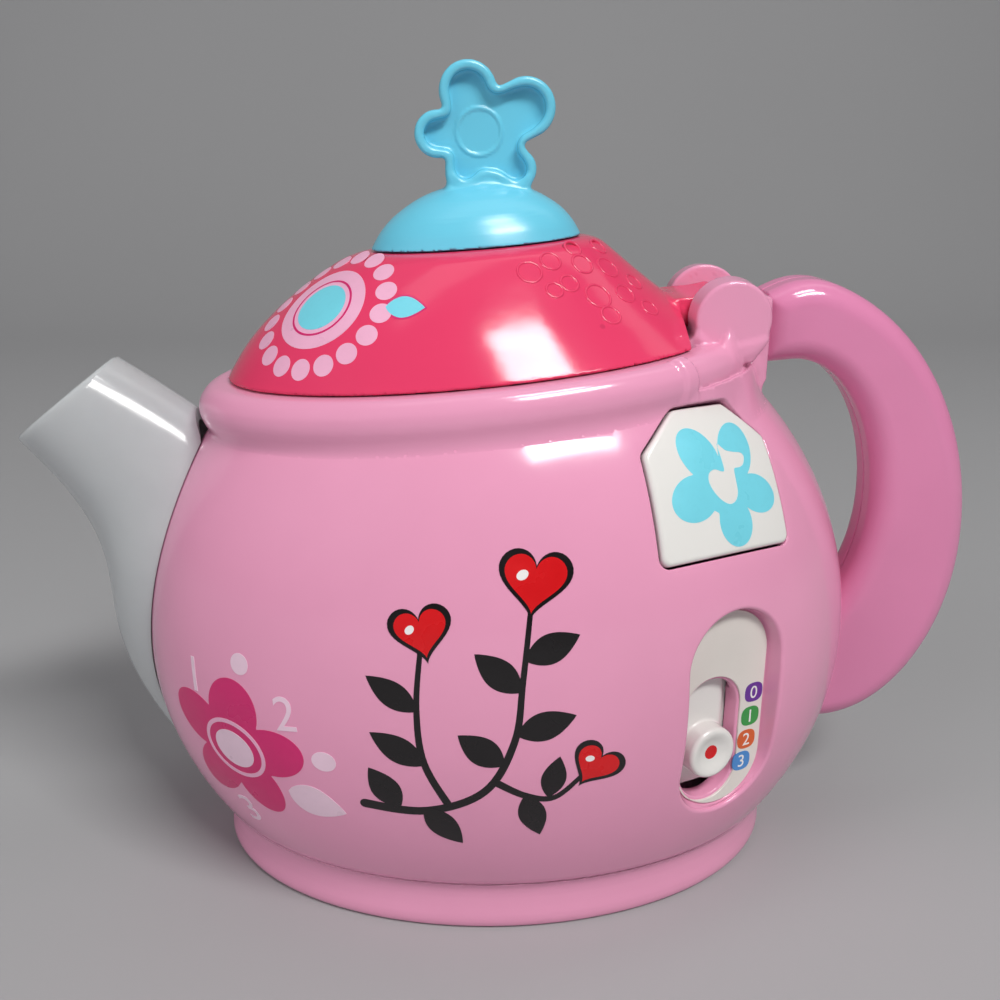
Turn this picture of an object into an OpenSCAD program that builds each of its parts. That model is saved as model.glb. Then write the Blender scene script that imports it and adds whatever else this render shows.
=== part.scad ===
// Toy teapot that plays and lights up: an oval pot moulded as two shells, with a hinged lid,
// a lit spout, a looped handle, a tag-shaped push button and a four-step slide switch.
// Millimetres. +X points to the handle, -X to the spout, -Y is the decorated front, +Z is up.
// The origin is on the floor under the middle of the foot.

/* [Pot] */
// Half length of the pot at its widest
pot_a = 85.2; // [84.8:0.1:85.6]
// Depth of the pot as a share of its length
pot_k = 0.70; // [0.69:0.005:0.71]
// Height of the widest ring above the floor
belly_z = 56; // [55.5:0.1:56.5]
// Wall thickness of the moulded shells
wall = 2.4; // [2.2:0.1:2.6]

/* [Rim and lid] */
// Tilt of the rim and lid, rising towards the handle, in degrees
lid_tilt = 5.6; // [5.4:0.1:5.8]
// Half length of the lid at its lower edge
lid_a = 57; // [56.6:0.1:57.2]
// Wall thickness of the lid
lid_wall = 2.2; // [1.8:0.1:2.4]

/* [Hinge] */
// Radius of the hinge knuckles
knuckle_r = 9; // [8.8:0.1:9.2]
// Radius of the steel hinge pin
pin_r = 2; // [1.8:0.05:2.1]

/* [Handle] */
// Thickness of the handle from front to back
handle_t = 18; // [16:0.5:19]

/* [Controls] */
// How far the tag button travels
tag_travel = 2; // [1.5:0.1:2.2]
// Distance between two steps of the slide switch
step = 5.4; // [5.3:0.05:5.5]

/* [Hidden] */
$fn = 96;

lid_x = -6.2;                 // centre of the rim and lid
lid_z = 123.5;                // height of the lid's lower edge above that centre
slope = tan(lid_tilt);
hinge = [49.7, 0, 133.3];     // hinge axis, along Y
pink = "#e59bc4";
hot = "#e23b6b";
blue = "#6fcbe4";
white = "#f2f0ec";

// ---- pot surface -------------------------------------------------------
function pot_r(z) = pot_a * sqrt(max(0, 1 - pow((z - belly_z) / (z > belly_z ? 84 : 77), 2)));
function on_pot(x, z) = [x, -pot_k * sqrt(pow(pot_r(z), 2) - x * x), z];
function unit(v) = v / norm(v);
function pot_n(x, z) = unit(cross(on_pot(x + .05, z) - on_pot(x - .05, z), on_pot(x, z + .05) - on_pot(x, z - .05)));
// Puts children with X along the surface, Y up it and Z out of it
module at_pot(x, z) {
    p = on_pot(x, z);
    n = pot_n(x, z);
    u = unit(cross([0, 0, 1], n));
    v = cross(n, u);
    multmatrix([[u[0], v[0], n[0], p[0]], [u[1], v[1], n[1], p[1]], [u[2], v[2], n[2], p[2]], [0, 0, 0, 1]]) children();
}
module oval(pts, xc = 0, z0 = 0, tilt = 0, k = pot_k)
    multmatrix([[1, 0, 0, xc], [0, k, 0, 0], [tan(tilt), 0, 1, z0], [0, 0, 0, 1]]) rotate_extrude() polygon(pts);
zs = [for (i = [0:20]) 15 + 5.4 * i];
module pot_solid(d = 0, top = 123)
    oval(concat([[0, 13], [pot_r(13) + d, 13]], [for (z = zs) if (z < top) [pot_r(z) + d, z]], [[pot_r(top) + d, top], [0, top]]));
module pot_skin()
    oval(concat([[66, 13], [pot_r(13), 13]], [for (z = zs) [pot_r(z), z]],
        [for (i = [20:-1:0]) [pot_r(zs[i]) - wall, zs[i]]], [[66, 15]]));
module above_crease() // everything above the tilted plane where the rim sits
    multmatrix([[1, 0, 0, 0], [0, 1, 0, 0], [slope, 0, 1, lid_z - 10 - slope * lid_x], [0, 0, 0, 1]])
        translate([-130, -90, 0]) cube([260, 180, 60]);
module half(s) translate([-130, s < 0 ? -90 : 0, 0]) cube([260, 90, 200]);

// ---- fastening points --------------------------------------------------
bosses = [[-62, 40], [-66, 86], [62, 36], [62, 90]];   // x, z of the housing screws
posts = [[-50, -24], [-50, 24], [50, -24], [50, 24]];  // x, y of the base screws
module along_y(x, y0, y1, z, r) translate([x, y0, z]) rotate([-90, 0, 0]) cylinder(r = r, h = y1 - y0);
module shell_lugs(s) for (p = posts) if (p[1] * s > 0) {
    translate([p[0], p[1], 13.2]) cylinder(r = 4, h = 9);
    translate([p[0] - 1, p[1] > 0 ? p[1] : p[1] - 16, 15.5]) cube([2, 16, 6]);
}
module lug_pilots(s) for (p = posts) if (p[1] * s > 0) translate([p[0], p[1], 12]) cylinder(r = 1.55, h = 9);

// ---- spout socket, handle sockets, hinge -------------------------------
module spout_socket(r) translate([-70, 0, 70]) rotate([0, -90, 0]) cylinder(r = r, h = 22);
module handle_socket(g) translate([60, -6 - g, 38 - g]) cube([30, 12 + 2 * g, 16 + 2 * g]);

// ---- tag button outline, as seen from outside --------------------------
tag_at = [42, 102.6];
module tag_outline(g) {
    c = [[-14.2, -12.2], [15.8, -12.6], [16.6, 8.2], [8.4, 15.6], [-4.6, 15.4], [-13.4, 8]];
    hull() for (p = c) translate(p) circle(r = 2 + g, $fn = 24);
}
// ---- slide switch ------------------------------------------------------
slide_at = [45.9, 56.3];
slot_u = -.65;
rest_v = -12.95; // the knob rests at the third of its four steps
slot_lo = rest_v - step + .9;
slot_hi = rest_v + 2 * step - .9;
module stadium(w, v0, v1, u, h) { // exact slot-shaped prism
    translate([u, v0, 0]) cylinder(r = w, h = h);
    translate([u, v1, 0]) cylinder(r = w, h = h);
    translate([u - w, v0, 0]) cube([2 * w, v1 - v0, h]);
}

// ---- shells ------------------------------------------------------------
module front_shell() color(pink) {
    difference() {
        union() {
            intersection() { pot_skin(); half(-1); }
            intersection() {
                union() {
                    for (b = bosses) along_y(b[0], -60, -.1, b[1], 4);
                    shell_lugs(-1);
                    at_pot(slide_at[0], slide_at[1]) difference() {
                        translate([0, 0, -9.6]) stadium(14.6, -15.6, 8.8, 2.2, 10.8);
                        translate([slot_u - 6.8, -40, -20]) cube([13.6, 80, 12.2]); // the way of the knob's tail
                    }
                }
                pot_solid(-1);
                half(-1);
            }
        }
        above_crease();
        at_pot(tag_at[0], tag_at[1]) translate([0, 0, -14]) linear_extrude(24) tag_outline(.5);
        at_pot(slide_at[0], slide_at[1]) {
            translate([0, 0, -5.8]) stadium(12.6, -15.4, 8.6, 2.2, 22);
            translate([0, 0, -20]) stadium(7.2, slot_lo, slot_hi, slot_u, 30);
        }
        spout_socket(9.6);
        handle_socket(.3);
        for (b = bosses) along_y(b[0], -12, 1, b[1], 1.55);
        lug_pilots(-1);
    }
}
module rear_shell() color(pink) {
    difference() {
        union() {
            intersection() { pot_skin(); half(1); }
            intersection() {
                union() {
                    for (b = bosses) along_y(b[0], .1, 60, b[1], 4.6);
                    shell_lugs(1);
                    difference() { along_y(0, 48, 60, 58, 22); along_y(0, 40, 70, 58, 19.6); }
                }
                pot_solid(-1);
                half(1);
            }
        }
        above_crease();
        spout_socket(9.6);
        handle_socket(.3);
        for (b = bosses) { along_y(b[0], -1, 40, b[1], 1.75); along_y(b[0], 11, 70, b[1], 3.3); }
        for (i = [0:2], j = [0:6 * i]) if (i == 0 ? j == 0 : j < 6 * i)
            along_y(5 * i * cos(60 * j / max(1, i)), 50, 64, 58 + 5 * i * sin(60 * j / max(1, i)), 1.4);
        lug_pilots(1);
    }
}
module housing_screws() color("silver") for (b = bosses) {
    along_y(b[0], 11, 13, b[1], 2.9);
    along_y(b[0], -10, 11.1, b[1], 1.5);
}

// ---- handle ------------------------------------------------------------
function dip(x) = x < 76 ? .0189 * pow(76 - x, 2) : 0; // the handle sinks to the hinge
function h_out(t) = t < 0 ? [59.5, 137.3] : t < .5 ? [62 + 52.6 * sin(180 * t), 76 + 66.2 * cos(180 * t) - dip(62 + 52.6 * sin(180 * t))] : [82 + 32.6 * sin(180 * t), 76 + 47.6 * cos(180 * t)];
function h_in(t) = t < 0 ? [59.5, 121.4] : t < .5 ? [68.5 + 21.9 * sin(180 * t), 86 + 36.2 * cos(180 * t)] : [62 + 28.4 * sin(180 * t * .85 + 13.5), 86 + 38.1 * cos(180 * t * .85 + 13.5)];
function h_ring(t, g) =
    let (o = h_out(t), i = h_in(t), e = (o - i) / norm(o - i), w = norm(o - i) / 2 - g, m = (o + i) / 2, d = handle_t / 2 - g, r = 5.5 - g)
    [for (q = [0:3], s = [0:3]) let (a = 90 * q + 30 * s, cx = (q == 0 || q == 3 ? 1 : -1) * (w - r) + r * cos(a), cy = (q < 2 ? 1 : -1) * (d - r) + r * sin(a))
        [m[0] + e[0] * cx, cy, m[1] + e[1] * cx]];
module tube(rings) {
    n = len(rings[0]);
    m = len(rings);
    polyhedron(points = [for (r = rings) for (p = r) p],
        faces = concat([[for (i = [n - 1:-1:0]) i]], [[for (i = [0:n - 1]) (m - 1) * n + i]],
            [for (j = [0:m - 2], i = [0:n - 1]) [j * n + i, j * n + (i + 1) % n, (j + 1) * n + (i + 1) % n]],
            [for (j = [0:m - 2], i = [0:n - 1]) [j * n + i, (j + 1) * n + (i + 1) % n, (j + 1) * n + i]]), convexity = 8);
}
ht = concat([-.1], [for (i = [0:23]) i / 22]);
module handle_sweep(g) tube([for (t = ht) h_ring(t, g)]);
module handle_half(s) difference() {
    union() {
        difference() { handle_sweep(0); handle_sweep(2.2); }
        intersection() {
            handle_sweep(1);
            union() { along_y(102.6, -9, 9, 76, 4); along_y(84, -9, 9, 126, 4); along_y(96, -9, 9, 46, 4); translate([84.6, -9, 38]) cube([2.4, 18, 24]); }
        }
        translate([78, -5.9, 38.1]) cube([9, 11.8, 15.8]);
    }
    half(-s);
    difference() { pot_solid(.25); handle_socket(0); }
    translate([40, -10, 100]) cube([20.6, 20, 50]);
    along_y(102.6, -7, 6.2, 76, 1.55);
    along_y(84, -7, 6.2, 126, 1.55);
    along_y(96, -7, 6.2, 46, 1.55);
    for (p = [[102.6, 76], [84, 126], [96, 46]]) along_y(p[0], 3.9, 12, p[1], 2.9);
}
module handle_front_half() color(pink) handle_half(-1);
module handle_rear_half() color(pink) handle_half(1);
module handle_screws() color("silver") for (p = [[102.6, 76], [84, 126], [96, 46]]) {
    along_y(p[0], 4, 5.8, p[1], 2.7);
    along_y(p[0], -6.4, 4.1, p[1], 1.5);
}

// ---- base and battery box ----------------------------------------------
module base() color(pink) difference() {
    union() {
        oval([[0, 3], [64.8, 3], [64.8, -.4], [65.7, -.4], [68.4, .6], [69.2, 2.2], [69.2, 4], [68.6, 8], [68.2, 12.7], [65.6, 12.7], [65.6, 5.2], [0, 5.2]]);
        translate([-33, -28, 3.2]) cube([66, 56, 20.2]);
        translate([31, -8.2, 5.2]) cube([9, 16.4, 3.2]);
        translate([35, 0, 5.2]) cylinder(r = 3.8, h = 10);
        for (p = posts) translate([p[0], p[1], 4]) cylinder(r = 4, h = 8.6);
    }
    translate([-100, -100, -2]) cube([200, 200, 2]); // the flat face that it stands on
    translate([-29.5, -24.5, 0]) cube([59, 49, 21.4]);
    translate([-31, -26, 0]) cube([62, 52, 5.4]);
    translate([30, -6.2, 0]) cube([8.4, 12.4, 5.4]);
    translate([35, 0, 4]) cylinder(r = 1.55, h = 10);
    for (p = posts) translate([p[0], p[1], 0]) { cylinder(r = 1.7, h = 20); cylinder(r = 3.2, h = 8); }
}
module base_screws() color("silver") for (p = posts) translate([p[0], p[1], 0]) {
    translate([0, 0, 6]) cylinder(r = 2.9, h = 1.9);
    translate([0, 0, 7]) cylinder(r = 1.5, h = 12);
}
module battery_door() color(pink) difference() {
    union() {
        translate([-30.8, -25.8, 3.2]) cube([61.6, 51.6, 2]);
        translate([30, -6, 3.2]) cube([8.2, 12, 2]);
    }
    translate([35, 0, 0]) cylinder(r = 1.7, h = 10);
    translate([35, 0, 2]) cylinder(r = 3, h = 2.2);
    for (i = [-3:3]) translate([-27 + 0, i * 2.2 - .5, 3]) cube([7, 1, .7]);
}
module battery_door_screw() color("silver") {
    translate([35, 0, 3.3]) cylinder(r = 2.8, h = .8);
    translate([35, 0, 3.9]) cylinder(r = 1.5, h = 9);
}
module batteries() color("dimgray") for (i = [-1:1]) translate([0, 15 * i, 12.9]) rotate([0, i == 0 ? -90 : 90, 0]) {
    translate([0, 0, -24.6]) cylinder(r = 7.1, h = 49);
    translate([0, 0, 24.3]) cylinder(r = 2.7, h = .9);
}
module battery_contacts() color("silver") for (s = [-1, 1], i = [-1:1]) {
    translate([s * 29 - .3, 15 * i - 6, 7]) cube([.6, 12, 12]);
    translate([s < 0 ? -28.8 : 25.4, 15 * i, 12.9]) rotate([0, 90, 0]) cylinder(r = 3, h = 3.4);
}

// ---- rim collar with the hinge knuckles --------------------------------
module collar_posts(r, h0, h1) for (a = [35, 145, 215, 325])
    translate([lid_x + 55 * cos(a), pot_k * 55 * sin(a), lid_z + slope * 55 * cos(a) + h0]) cylinder(r = r, h = h1 - h0);
module rim_collar() color(pink) difference() {
    union() {
        oval([[57.8, -14], [58.6, -14], [58.6, -9.8], [63.2, -9.8], [64.2, -8.4], [64.7, -6.6], [64.6, -4.8], [63.9, -3.1], [62.7, -1.7], [61, -.8], [59, -.3],
            [53.4, -.3], [53.4, -2.6], [57.8, -2.6]], lid_x, lid_z, lid_tilt);
        for (s = [-1, 1]) {
            along_y(hinge[0], s < 0 ? -17.5 : 10.5, s < 0 ? -10.5 : 17.5, hinge[2], knuckle_r);
            translate([0, s < 0 ? -10.5 : 17.5, 0]) rotate([90, 0, 0]) linear_extrude(7) polygon([[38, 127.6], [41.5, 130], [46, 126], [57.5, 129], [54.6, 124], [50, 123.5]]);
        }
        translate([0, 10.6, 0]) rotate([90, 0, 0]) linear_extrude(21.2) polygon([[50, 124], [50, 127.5], [57.4, 129.5], [57.6, 138.6], [60.4, 138.6], [60.4, 118.4], [59.2, 117.7], [58.4, 119.9], [56.8, 121.5]]);
        translate([59.6, -5.6, 124.8]) cube([8.4, 11.2, 9.4]);
    }
    along_y(hinge[0], -10.4, 10.4, hinge[2], 6.9);
    translate([30, -10.4, 127]) cube([20, 20.8, 12]);
    along_y(hinge[0], -14.5, 17.6, hinge[2], pin_r + .05);
    translate([lid_x - 55.3, 0, 100]) cylinder(r = 1.7, h = 30);
    collar_posts(1.5, -4, -1.2);
    at_pot(tag_at[0], tag_at[1]) translate([-20, -20, -14]) cube([40, 39.2, 12.2]); // room behind the tag
}
module collar_screws() color("silver") {
    collar_posts(1.4, -9.6, -1.5);
    collar_posts(2.2, -11, -9.5);
}
module inner_bowl() color(pink) difference() {
    union() {
        oval([[0, -34], [30, -33], [44, -29], [50.4, -20], [51.6, -4.8], [57.6, -4.8], [57.6, -2.9], [49.4, -2.9], [48.3, -19.3], [42.6, -27.4], [29.6, -31.2], [0, -32]], lid_x, lid_z, lid_tilt);
        intersection() {
            collar_posts(3.2, -9.2, -3.2);
            oval([[0, -30], [57.6, -30], [57.6, -2.9], [0, -2.9]], lid_x, lid_z, lid_tilt);
        }
        translate([-32, 0, 81.7]) cylinder(r = 3.2, h = 7.3);
        translate([20, 0, 81.7]) cylinder(r = 3.2, h = 12);
    }
    oval([[0, -32], [29.6, -31.2], [42.6, -27.4], [48.3, -19.3], [49.4, -2.9], [49.4, 5], [0, 5]], lid_x, lid_z, lid_tilt);
    along_y(hinge[0], -10.4, 10.4, hinge[2], 6.9);
    translate([49.6, -10.9, 112]) cube([14, 21.8, 30]); // room for the middle of the hinge
    collar_posts(1.55, -30, 5);
    translate([lid_x - 55.3, 0, 80]) cylinder(r = 1.7, h = 50);
    for (x = [-32, 20]) translate([x, 0, 80]) cylinder(r = 1.55, h = 7.4);
    for (y = [-18, 10.2]) translate([43.4, y, 122]) cube([14, 7.8, 8]); // room for the necks of the knuckles
}
module hinge_pin() color("silver") along_y(hinge[0], -14.3, 17.4, hinge[2], pin_r);

// ---- lid ---------------------------------------------------------------
function lid_r(h) = lid_a - 1.02 * h - (h > 6 ? .017 * pow(h - 6, 1.85) : 0) - (h > 18 ? .016 * pow(h - 18, 2) : 0);
function lid_c(h) = lid_x - 3.1 * 4 * (h / 25.7) * (1 - h / 25.7);
function lid_ring(h, d, n = 56) = [for (i = [0:n - 1]) let (a = -360 * i / n, r = lid_r(h) - d)
    [lid_c(h) + r * cos(a), (pot_k * lid_r(h) - d) * sin(a), lid_z + h + slope * (1 - .18 * h / 25.7) * (lid_c(h) + r * cos(a) - lid_x)]];
lh = [0, 2.5, 6, 10, 14, 18, 21.2, 23.4, 24.7];
module lid() color(hot) difference() {
    union() {
        difference() {
            tube([for (h = lh) lid_ring(h, 0)]);
            tube([for (h = [-.6, 2.5, 6, 10, 14, 18, 20.6, 22.4]) lid_ring(h, lid_wall)]);
        }
        along_y(hinge[0], -10.1, 10.1, hinge[2], 4.9);
        translate([0, 10.1, 0]) rotate([90, 0, 0]) linear_extrude(20.2) polygon([[49.7, 138.1], [37.4, 136.9], [38.5, 134.2], [42, 130.4], [49.7, 128.6]]);
        translate([lid_x, 0, 138]) cylinder(r = 4, h = 10);
    }
    for (s = [-1, 1]) {
        along_y(hinge[0], s < 0 ? -18.3 : 10.1, s < 0 ? -10.1 : 18.3, hinge[2], knuckle_r + .9);
        translate([39.2, s < 0 ? -32 : 10.1, 120]) cube([22, 21.9, 17.2]);
    }
    along_y(hinge[0], -12, 12, hinge[2], pin_r + .08);
    translate([lid_x, 0, 130]) cylinder(r = 1.7, h = 30);
    translate([lid_x, 0, 130]) cylinder(r = 3.2, h = 11);
}
// ---- knob: oval dome with an upright open-faced flower -----------------
fc = [-5.7, 172];
petal_at = [[-2.5, 8.5, 6.2], [10.1, 5.1, 6.4], [5.6, 2.9, 6.6], [-9.1, -.5, 5], [-3.1, -7.7, 4.3], [8.2, -7.7, 4.4], [4.4, -4.2, 5.4]]; // x, z, radius
module petals(g) { circle(r = 9 + g); for (p = petal_at) translate([p[0], p[1]]) circle(r = p[2] + g); }
module lid_knob() color(blue) difference() {
    union() {
        difference() {
            oval([[0, .1], [23.7, .1], [23, 1.3], [21.5, 3.8], [18.8, 6.6], [14.4, 9.7], [10, 11.6], [5, 12.8], [0, 13.2]], lid_x, 148.3, 4.6);
            oval([[0, -2], [21.4, -2], [20.8, 1.3], [19.2, 3.4], [16.6, 5.9], [12.6, 8.4], [8, 10], [0, 10.9]], lid_x, 148.3, 4.6);
        }
        translate([lid_x, 0, 148.8]) cylinder(r = 3.8, h = 10.8);
        translate([fc[0], 4, fc[1]]) rotate([90, 0, 0]) linear_extrude(8) petals(0);
        translate([-12.8, -4, 157]) cube([18.4, 8, 6.5]);
    }
    translate([fc[0], 1, fc[1]]) rotate([90, 0, 0]) linear_extrude(8) petals(-2);
    translate([lid_x, 0, 148]) cylinder(r = 1.55, h = 8);
}
module knob_screw() color("silver") {
    translate([lid_x, 0, 139]) cylinder(r = 2.9, h = 1.9);
    translate([lid_x, 0, 140.8]) cylinder(r = 1.5, h = 14);
}
// ---- lid switch: a pin that the closed lid holds down ------------------
plunger_z = lid_z - slope * 55.3;
module lid_plunger() color(white) {
    translate([lid_x - 55.3, 0, plunger_z - 18]) cylinder(r = 1.5, h = 17.7);
    translate([lid_x - 55.3, 0, plunger_z - 18]) cylinder(r = 2.6, h = 1.2);
}
module lid_switch() color("dimgray") difference() {
    translate([lid_x - 55.3 - 4, -4, plunger_z - 27]) cube([8, 8, 9.6]);
    translate([lid_x - 55.3, 0, plunger_z - 22]) cylinder(r = 2.8, h = 8);
}

// ---- spout -------------------------------------------------------------
function bez(p, t) = pow(1 - t, 3) * p[0] + 3 * t * pow(1 - t, 2) * p[1] + 3 * t * t * (1 - t) * p[2] + pow(t, 3) * p[3];
s_up = [[-89, 122.5], [-79.9, 117], [-68, 108], [-55, 98]];
s_dn = [[-112.1, 104], [-79.4, 68.4], [-107.3, 66.5], [-81.1, 26]];
function s_ring(t, g, n = 28) = let (u = bez(s_up, t), d = bez(s_dn, t), m = (u + d) / 2, e = (u - d) / norm(u - d), a = norm(u - d) / 2 - g, b = 12.3 + 5 * t - g)
    [for (i = [0:n - 1]) let (q = 360 * i / n) [m[0] + e[0] * a * cos(q), b * sin(q), m[1] + e[1] * a * cos(q)]];
module spout() color(white, .75) difference() {
    union() {
        difference() {
            tube([for (i = [0:14]) s_ring(i / 14, 0)]);
            tube([for (i = [1:15]) s_ring(i / 14, 2)]);
            pot_solid(.25);
            oval([[0, -14], [63.6, -14], [64.8, -8.6], [65.2, -5.6], [63.4, -1.2], [0, -1]], lid_x, lid_z, lid_tilt);
        }
        intersection() {
            tube([for (i = [0:14]) s_ring(i / 14, .6)]);
            translate([-70, 0, 70]) rotate([0, -90, 0]) difference() { cylinder(r = 9.3, h = 27); translate([0, 0, -1]) cylinder(r = 7.3, h = 30); }
        }
    }
}
module spout_clip() color(white) difference() {
    translate([-73.2, 0, 70]) rotate([0, -90, 0]) cylinder(r = 12.4, h = 1.8);
    translate([-66, 0, 70]) rotate([0, -90, 0]) cylinder(r = 9.35, h = 14);
}
module spout_led() color("ivory") translate([-68, 0, 70]) rotate([0, -90, 0]) {
    cylinder(r = 2.9, h = 1);
    cylinder(r = 2.5, h = 6);
    translate([0, 0, 6]) sphere(r = 2.5);
}
module led_board() color("seagreen") translate([-67.9, -8, 61]) cube([1.6, 16, 18]);

// ---- tag button --------------------------------------------------------
module tag_button() color(white) {
    intersection() {
        at_pot(tag_at[0], tag_at[1]) translate([0, 0, -10]) linear_extrude(16) tag_outline(0);
        difference() { pot_solid(.6, 122); pot_solid(-1.6, 124); }
    }
    at_pot(tag_at[0], tag_at[1]) translate([0, 0, -6.6]) cylinder(r = 3, h = 5.6);
}
module tag_rubber_dome() color("gray") at_pot(tag_at[0], tag_at[1]) translate([0, 0, -7.9 - tag_travel]) {
    cylinder(r = 5, h = .9);
    cylinder(r1 = 4.2, r2 = 2.8, h = 1.1 + tag_travel);
}
module tag_board() color("seagreen") at_pot(tag_at[0], tag_at[1]) translate([-9, -8, -9.6 - tag_travel]) cube([18, 16, 1.6]);

// ---- slide switch parts ------------------------------------------------
module switch_label() color(white) at_pot(slide_at[0], slide_at[1]) translate([0, 0, -5.8]) difference() {
    stadium(11.3, -15.4, 8.6, 2.2, .5);
    translate([0, 0, -1]) stadium(7.9, slot_lo, slot_hi, slot_u, 3);
}
module slider_knob() color(white) at_pot(slide_at[0], slide_at[1]) translate([slot_u, rest_v, 0]) difference() {
    union() {
        translate([0, 0, -10.5]) cylinder(r = 6, h = 6);
        translate([0, 0, -4.5]) cylinder(r1 = 6, r2 = 5.3, h = .9);
        translate([-7.5, -10, -11.5]) cube([15, 32, 1.6]);
        difference() {
            union() {
                for (u = [-3.8, 3.8]) translate([u, -8, -10.6]) rotate([-90, 0, 0]) cylinder(r = 2.5, h = 29);
                translate([-3.8, -8, -10.6]) cube([7.6, 29, 2.5]);
            }
            translate([-8, -12, -26.5]) cube([16, 36, 16]);
        }
        translate([0, 0, -15.5]) cylinder(r = 1.5, h = 5);
    }
    translate([0, 0, -4.7]) cylinder(r1 = 1.9, r2 = 4.4, h = 1.2);
}
module slide_switch() color("silver") at_pot(slide_at[0], slide_at[1]) difference() {
    translate([-4.65, rest_v - 14, -18.1]) cube([8, 36, 6]);
    translate([-2.65, rest_v - 9, -16.5]) cube([4, 25, 6]);
}
module switch_board() color("seagreen") at_pot(slide_at[0], slide_at[1]) translate([-9.15, rest_v - 16, -19.8]) cube([17, 40, 1.6]);

// ---- electronics -------------------------------------------------------
module circuit_board() color("seagreen") difference() {
    translate([-36, -20, 80]) cube([60, 40, 1.6]);
    for (s = [-1, 1]) translate([-6 + 26 * s, 0, 70]) cylinder(r = 1.7, h = 20);
}
module sound_chip() color("#222222") { translate([-12, -6, 78.2]) cube([12, 12, 1.7]); translate([8, 5, 77]) cylinder(r = 3, h = 2.9); }
module board_screws() color("silver") for (s = [-1, 1]) translate([-6 + 26 * s, 0, 0]) {
    translate([0, 0, 78]) cylinder(r = 2.9, h = 1.9);
    translate([0, 0, 79.8]) cylinder(r = 1.5, h = 7);
}
module speaker() color("#333333") {
    difference() { along_y(0, 50.4, 54, 58, 18.6); along_y(0, 52.4, 60, 58, 16.4); }
    along_y(0, 44, 50.5, 58, 11);
    along_y(0, 50, 52.6, 58, 16.5);
}
module speaker_clamp() color(white) difference() {
    along_y(0, 46.4, 47.9, 58, 22);
    along_y(0, 40, 60, 58, 12);
}
// A round wire swept through its points, eight-sided
function w_dir(p, i) = unit(i == 0 ? p[1] - p[0] : i == len(p) - 1 ? p[i] - p[i - 1] : unit(p[i] - p[i - 1]) + unit(p[i + 1] - p[i]));
module wire(p, r = .7) tube([for (i = [0:len(p) - 1]) let (d = w_dir(p, i), u = unit(cross(d, [.31, .92, .17])), v = cross(d, u))
    [for (k = [0:7]) p[i] + r * cos(45 * k) * u + r * sin(45 * k) * v]]);
module wiring() color("crimson") {
    wire([[-20, 12, 79.2], [-20, 14, 72], [-16, 26, 66], [-6, 38, 60], [-6, 43.4, 58]]);
    wire([[-30, -6, 79.2], [-34, -6, 75], [-50, -6, 71], [-66, -6, 70]]);
    wire([[16, -12, 79.2], [17, -12, 72], [22, -14, 60], [22, -14, 24]]);
    wire([[20, -6, 79.2], [22, -8, 74], [30, -20, 62], [34.4, -31.8, 56]]);
    wire([[10, -14, 79.2], [12, -20, 78], [30, -27, 88], [33.6, -25.6, 94.6]]);
}

front_shell();
rear_shell();
handle_front_half();
handle_rear_half();
handle_screws();
housing_screws();
base();
base_screws();
battery_door();
battery_door_screw();
batteries();
battery_contacts();
rim_collar();
collar_screws();
inner_bowl();
hinge_pin();
lid();
lid_knob();
knob_screw();
lid_plunger();
lid_switch();
spout();
spout_clip();
spout_led();
led_board();
tag_button();
tag_rubber_dome();
tag_board();
switch_label();
slider_knob();
slide_switch();
switch_board();
circuit_board();
sound_chip();
board_screws();
speaker();
speaker_clamp();
wiring();
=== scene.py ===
import bpy, bmesh, math
import numpy as np
from mathutils import Matrix, Vector
from mathutils.geometry import delaunay_2d_cdt


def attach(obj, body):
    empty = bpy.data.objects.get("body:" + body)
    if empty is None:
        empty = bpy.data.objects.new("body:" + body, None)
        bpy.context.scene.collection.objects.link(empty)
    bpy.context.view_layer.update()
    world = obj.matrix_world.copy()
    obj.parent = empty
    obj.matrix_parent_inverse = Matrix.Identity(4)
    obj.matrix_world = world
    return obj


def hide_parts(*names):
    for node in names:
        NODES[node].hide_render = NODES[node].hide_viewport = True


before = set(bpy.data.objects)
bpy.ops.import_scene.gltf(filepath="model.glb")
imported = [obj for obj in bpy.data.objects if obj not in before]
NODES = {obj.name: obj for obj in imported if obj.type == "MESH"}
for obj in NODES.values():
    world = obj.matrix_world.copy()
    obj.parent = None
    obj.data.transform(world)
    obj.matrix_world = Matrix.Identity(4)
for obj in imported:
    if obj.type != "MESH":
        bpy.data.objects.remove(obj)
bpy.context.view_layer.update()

scene = bpy.context.scene

# ======================================================================
# Shape formulas (millimetres), the same as the construction's
# ======================================================================
A, K, BZ = 85.2, 0.70, 56.0
WALL = 2.4
LX, LZ = -6.2, 123.5
SL = math.tan(math.radians(5.6))
HX, HZ = 49.7, 133.3


def pot_H(z):
    return np.where(np.asarray(z, float) > BZ, 84.0, 77.0)


def pot_r(z):
    z = np.asarray(z, float)
    return A * np.sqrt(np.maximum(1e-6, 1 - ((z - BZ) / pot_H(z)) ** 2))


def pot_f(p):
    """Approximate signed distance to the pot's outer surface."""
    x, y, z = p[..., 0], p[..., 1], p[..., 2]
    F = x * x + (y / K) ** 2 - A * A * (1 - ((z - BZ) / pot_H(z)) ** 2)
    g = np.sqrt((2 * x) ** 2 + (2 * y / K ** 2) ** 2 + (2 * A * A * (z - BZ) / pot_H(z) ** 2) ** 2) + 1e-9
    return F / g


def pot_at(x, z, side=-1):
    return np.array([x, side * K * math.sqrt(float(pot_r(z)) ** 2 - x * x), z])


def crease_z(x):
    return 113.5 + SL * (x - LX)


def grad(f, p, e=.02):
    g = np.empty(p.shape)
    for i in range(3):
        d = np.zeros(3); d[i] = e
        g[..., i] = (f(p + d) - f(p - d)) / (2 * e)
    return g


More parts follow.
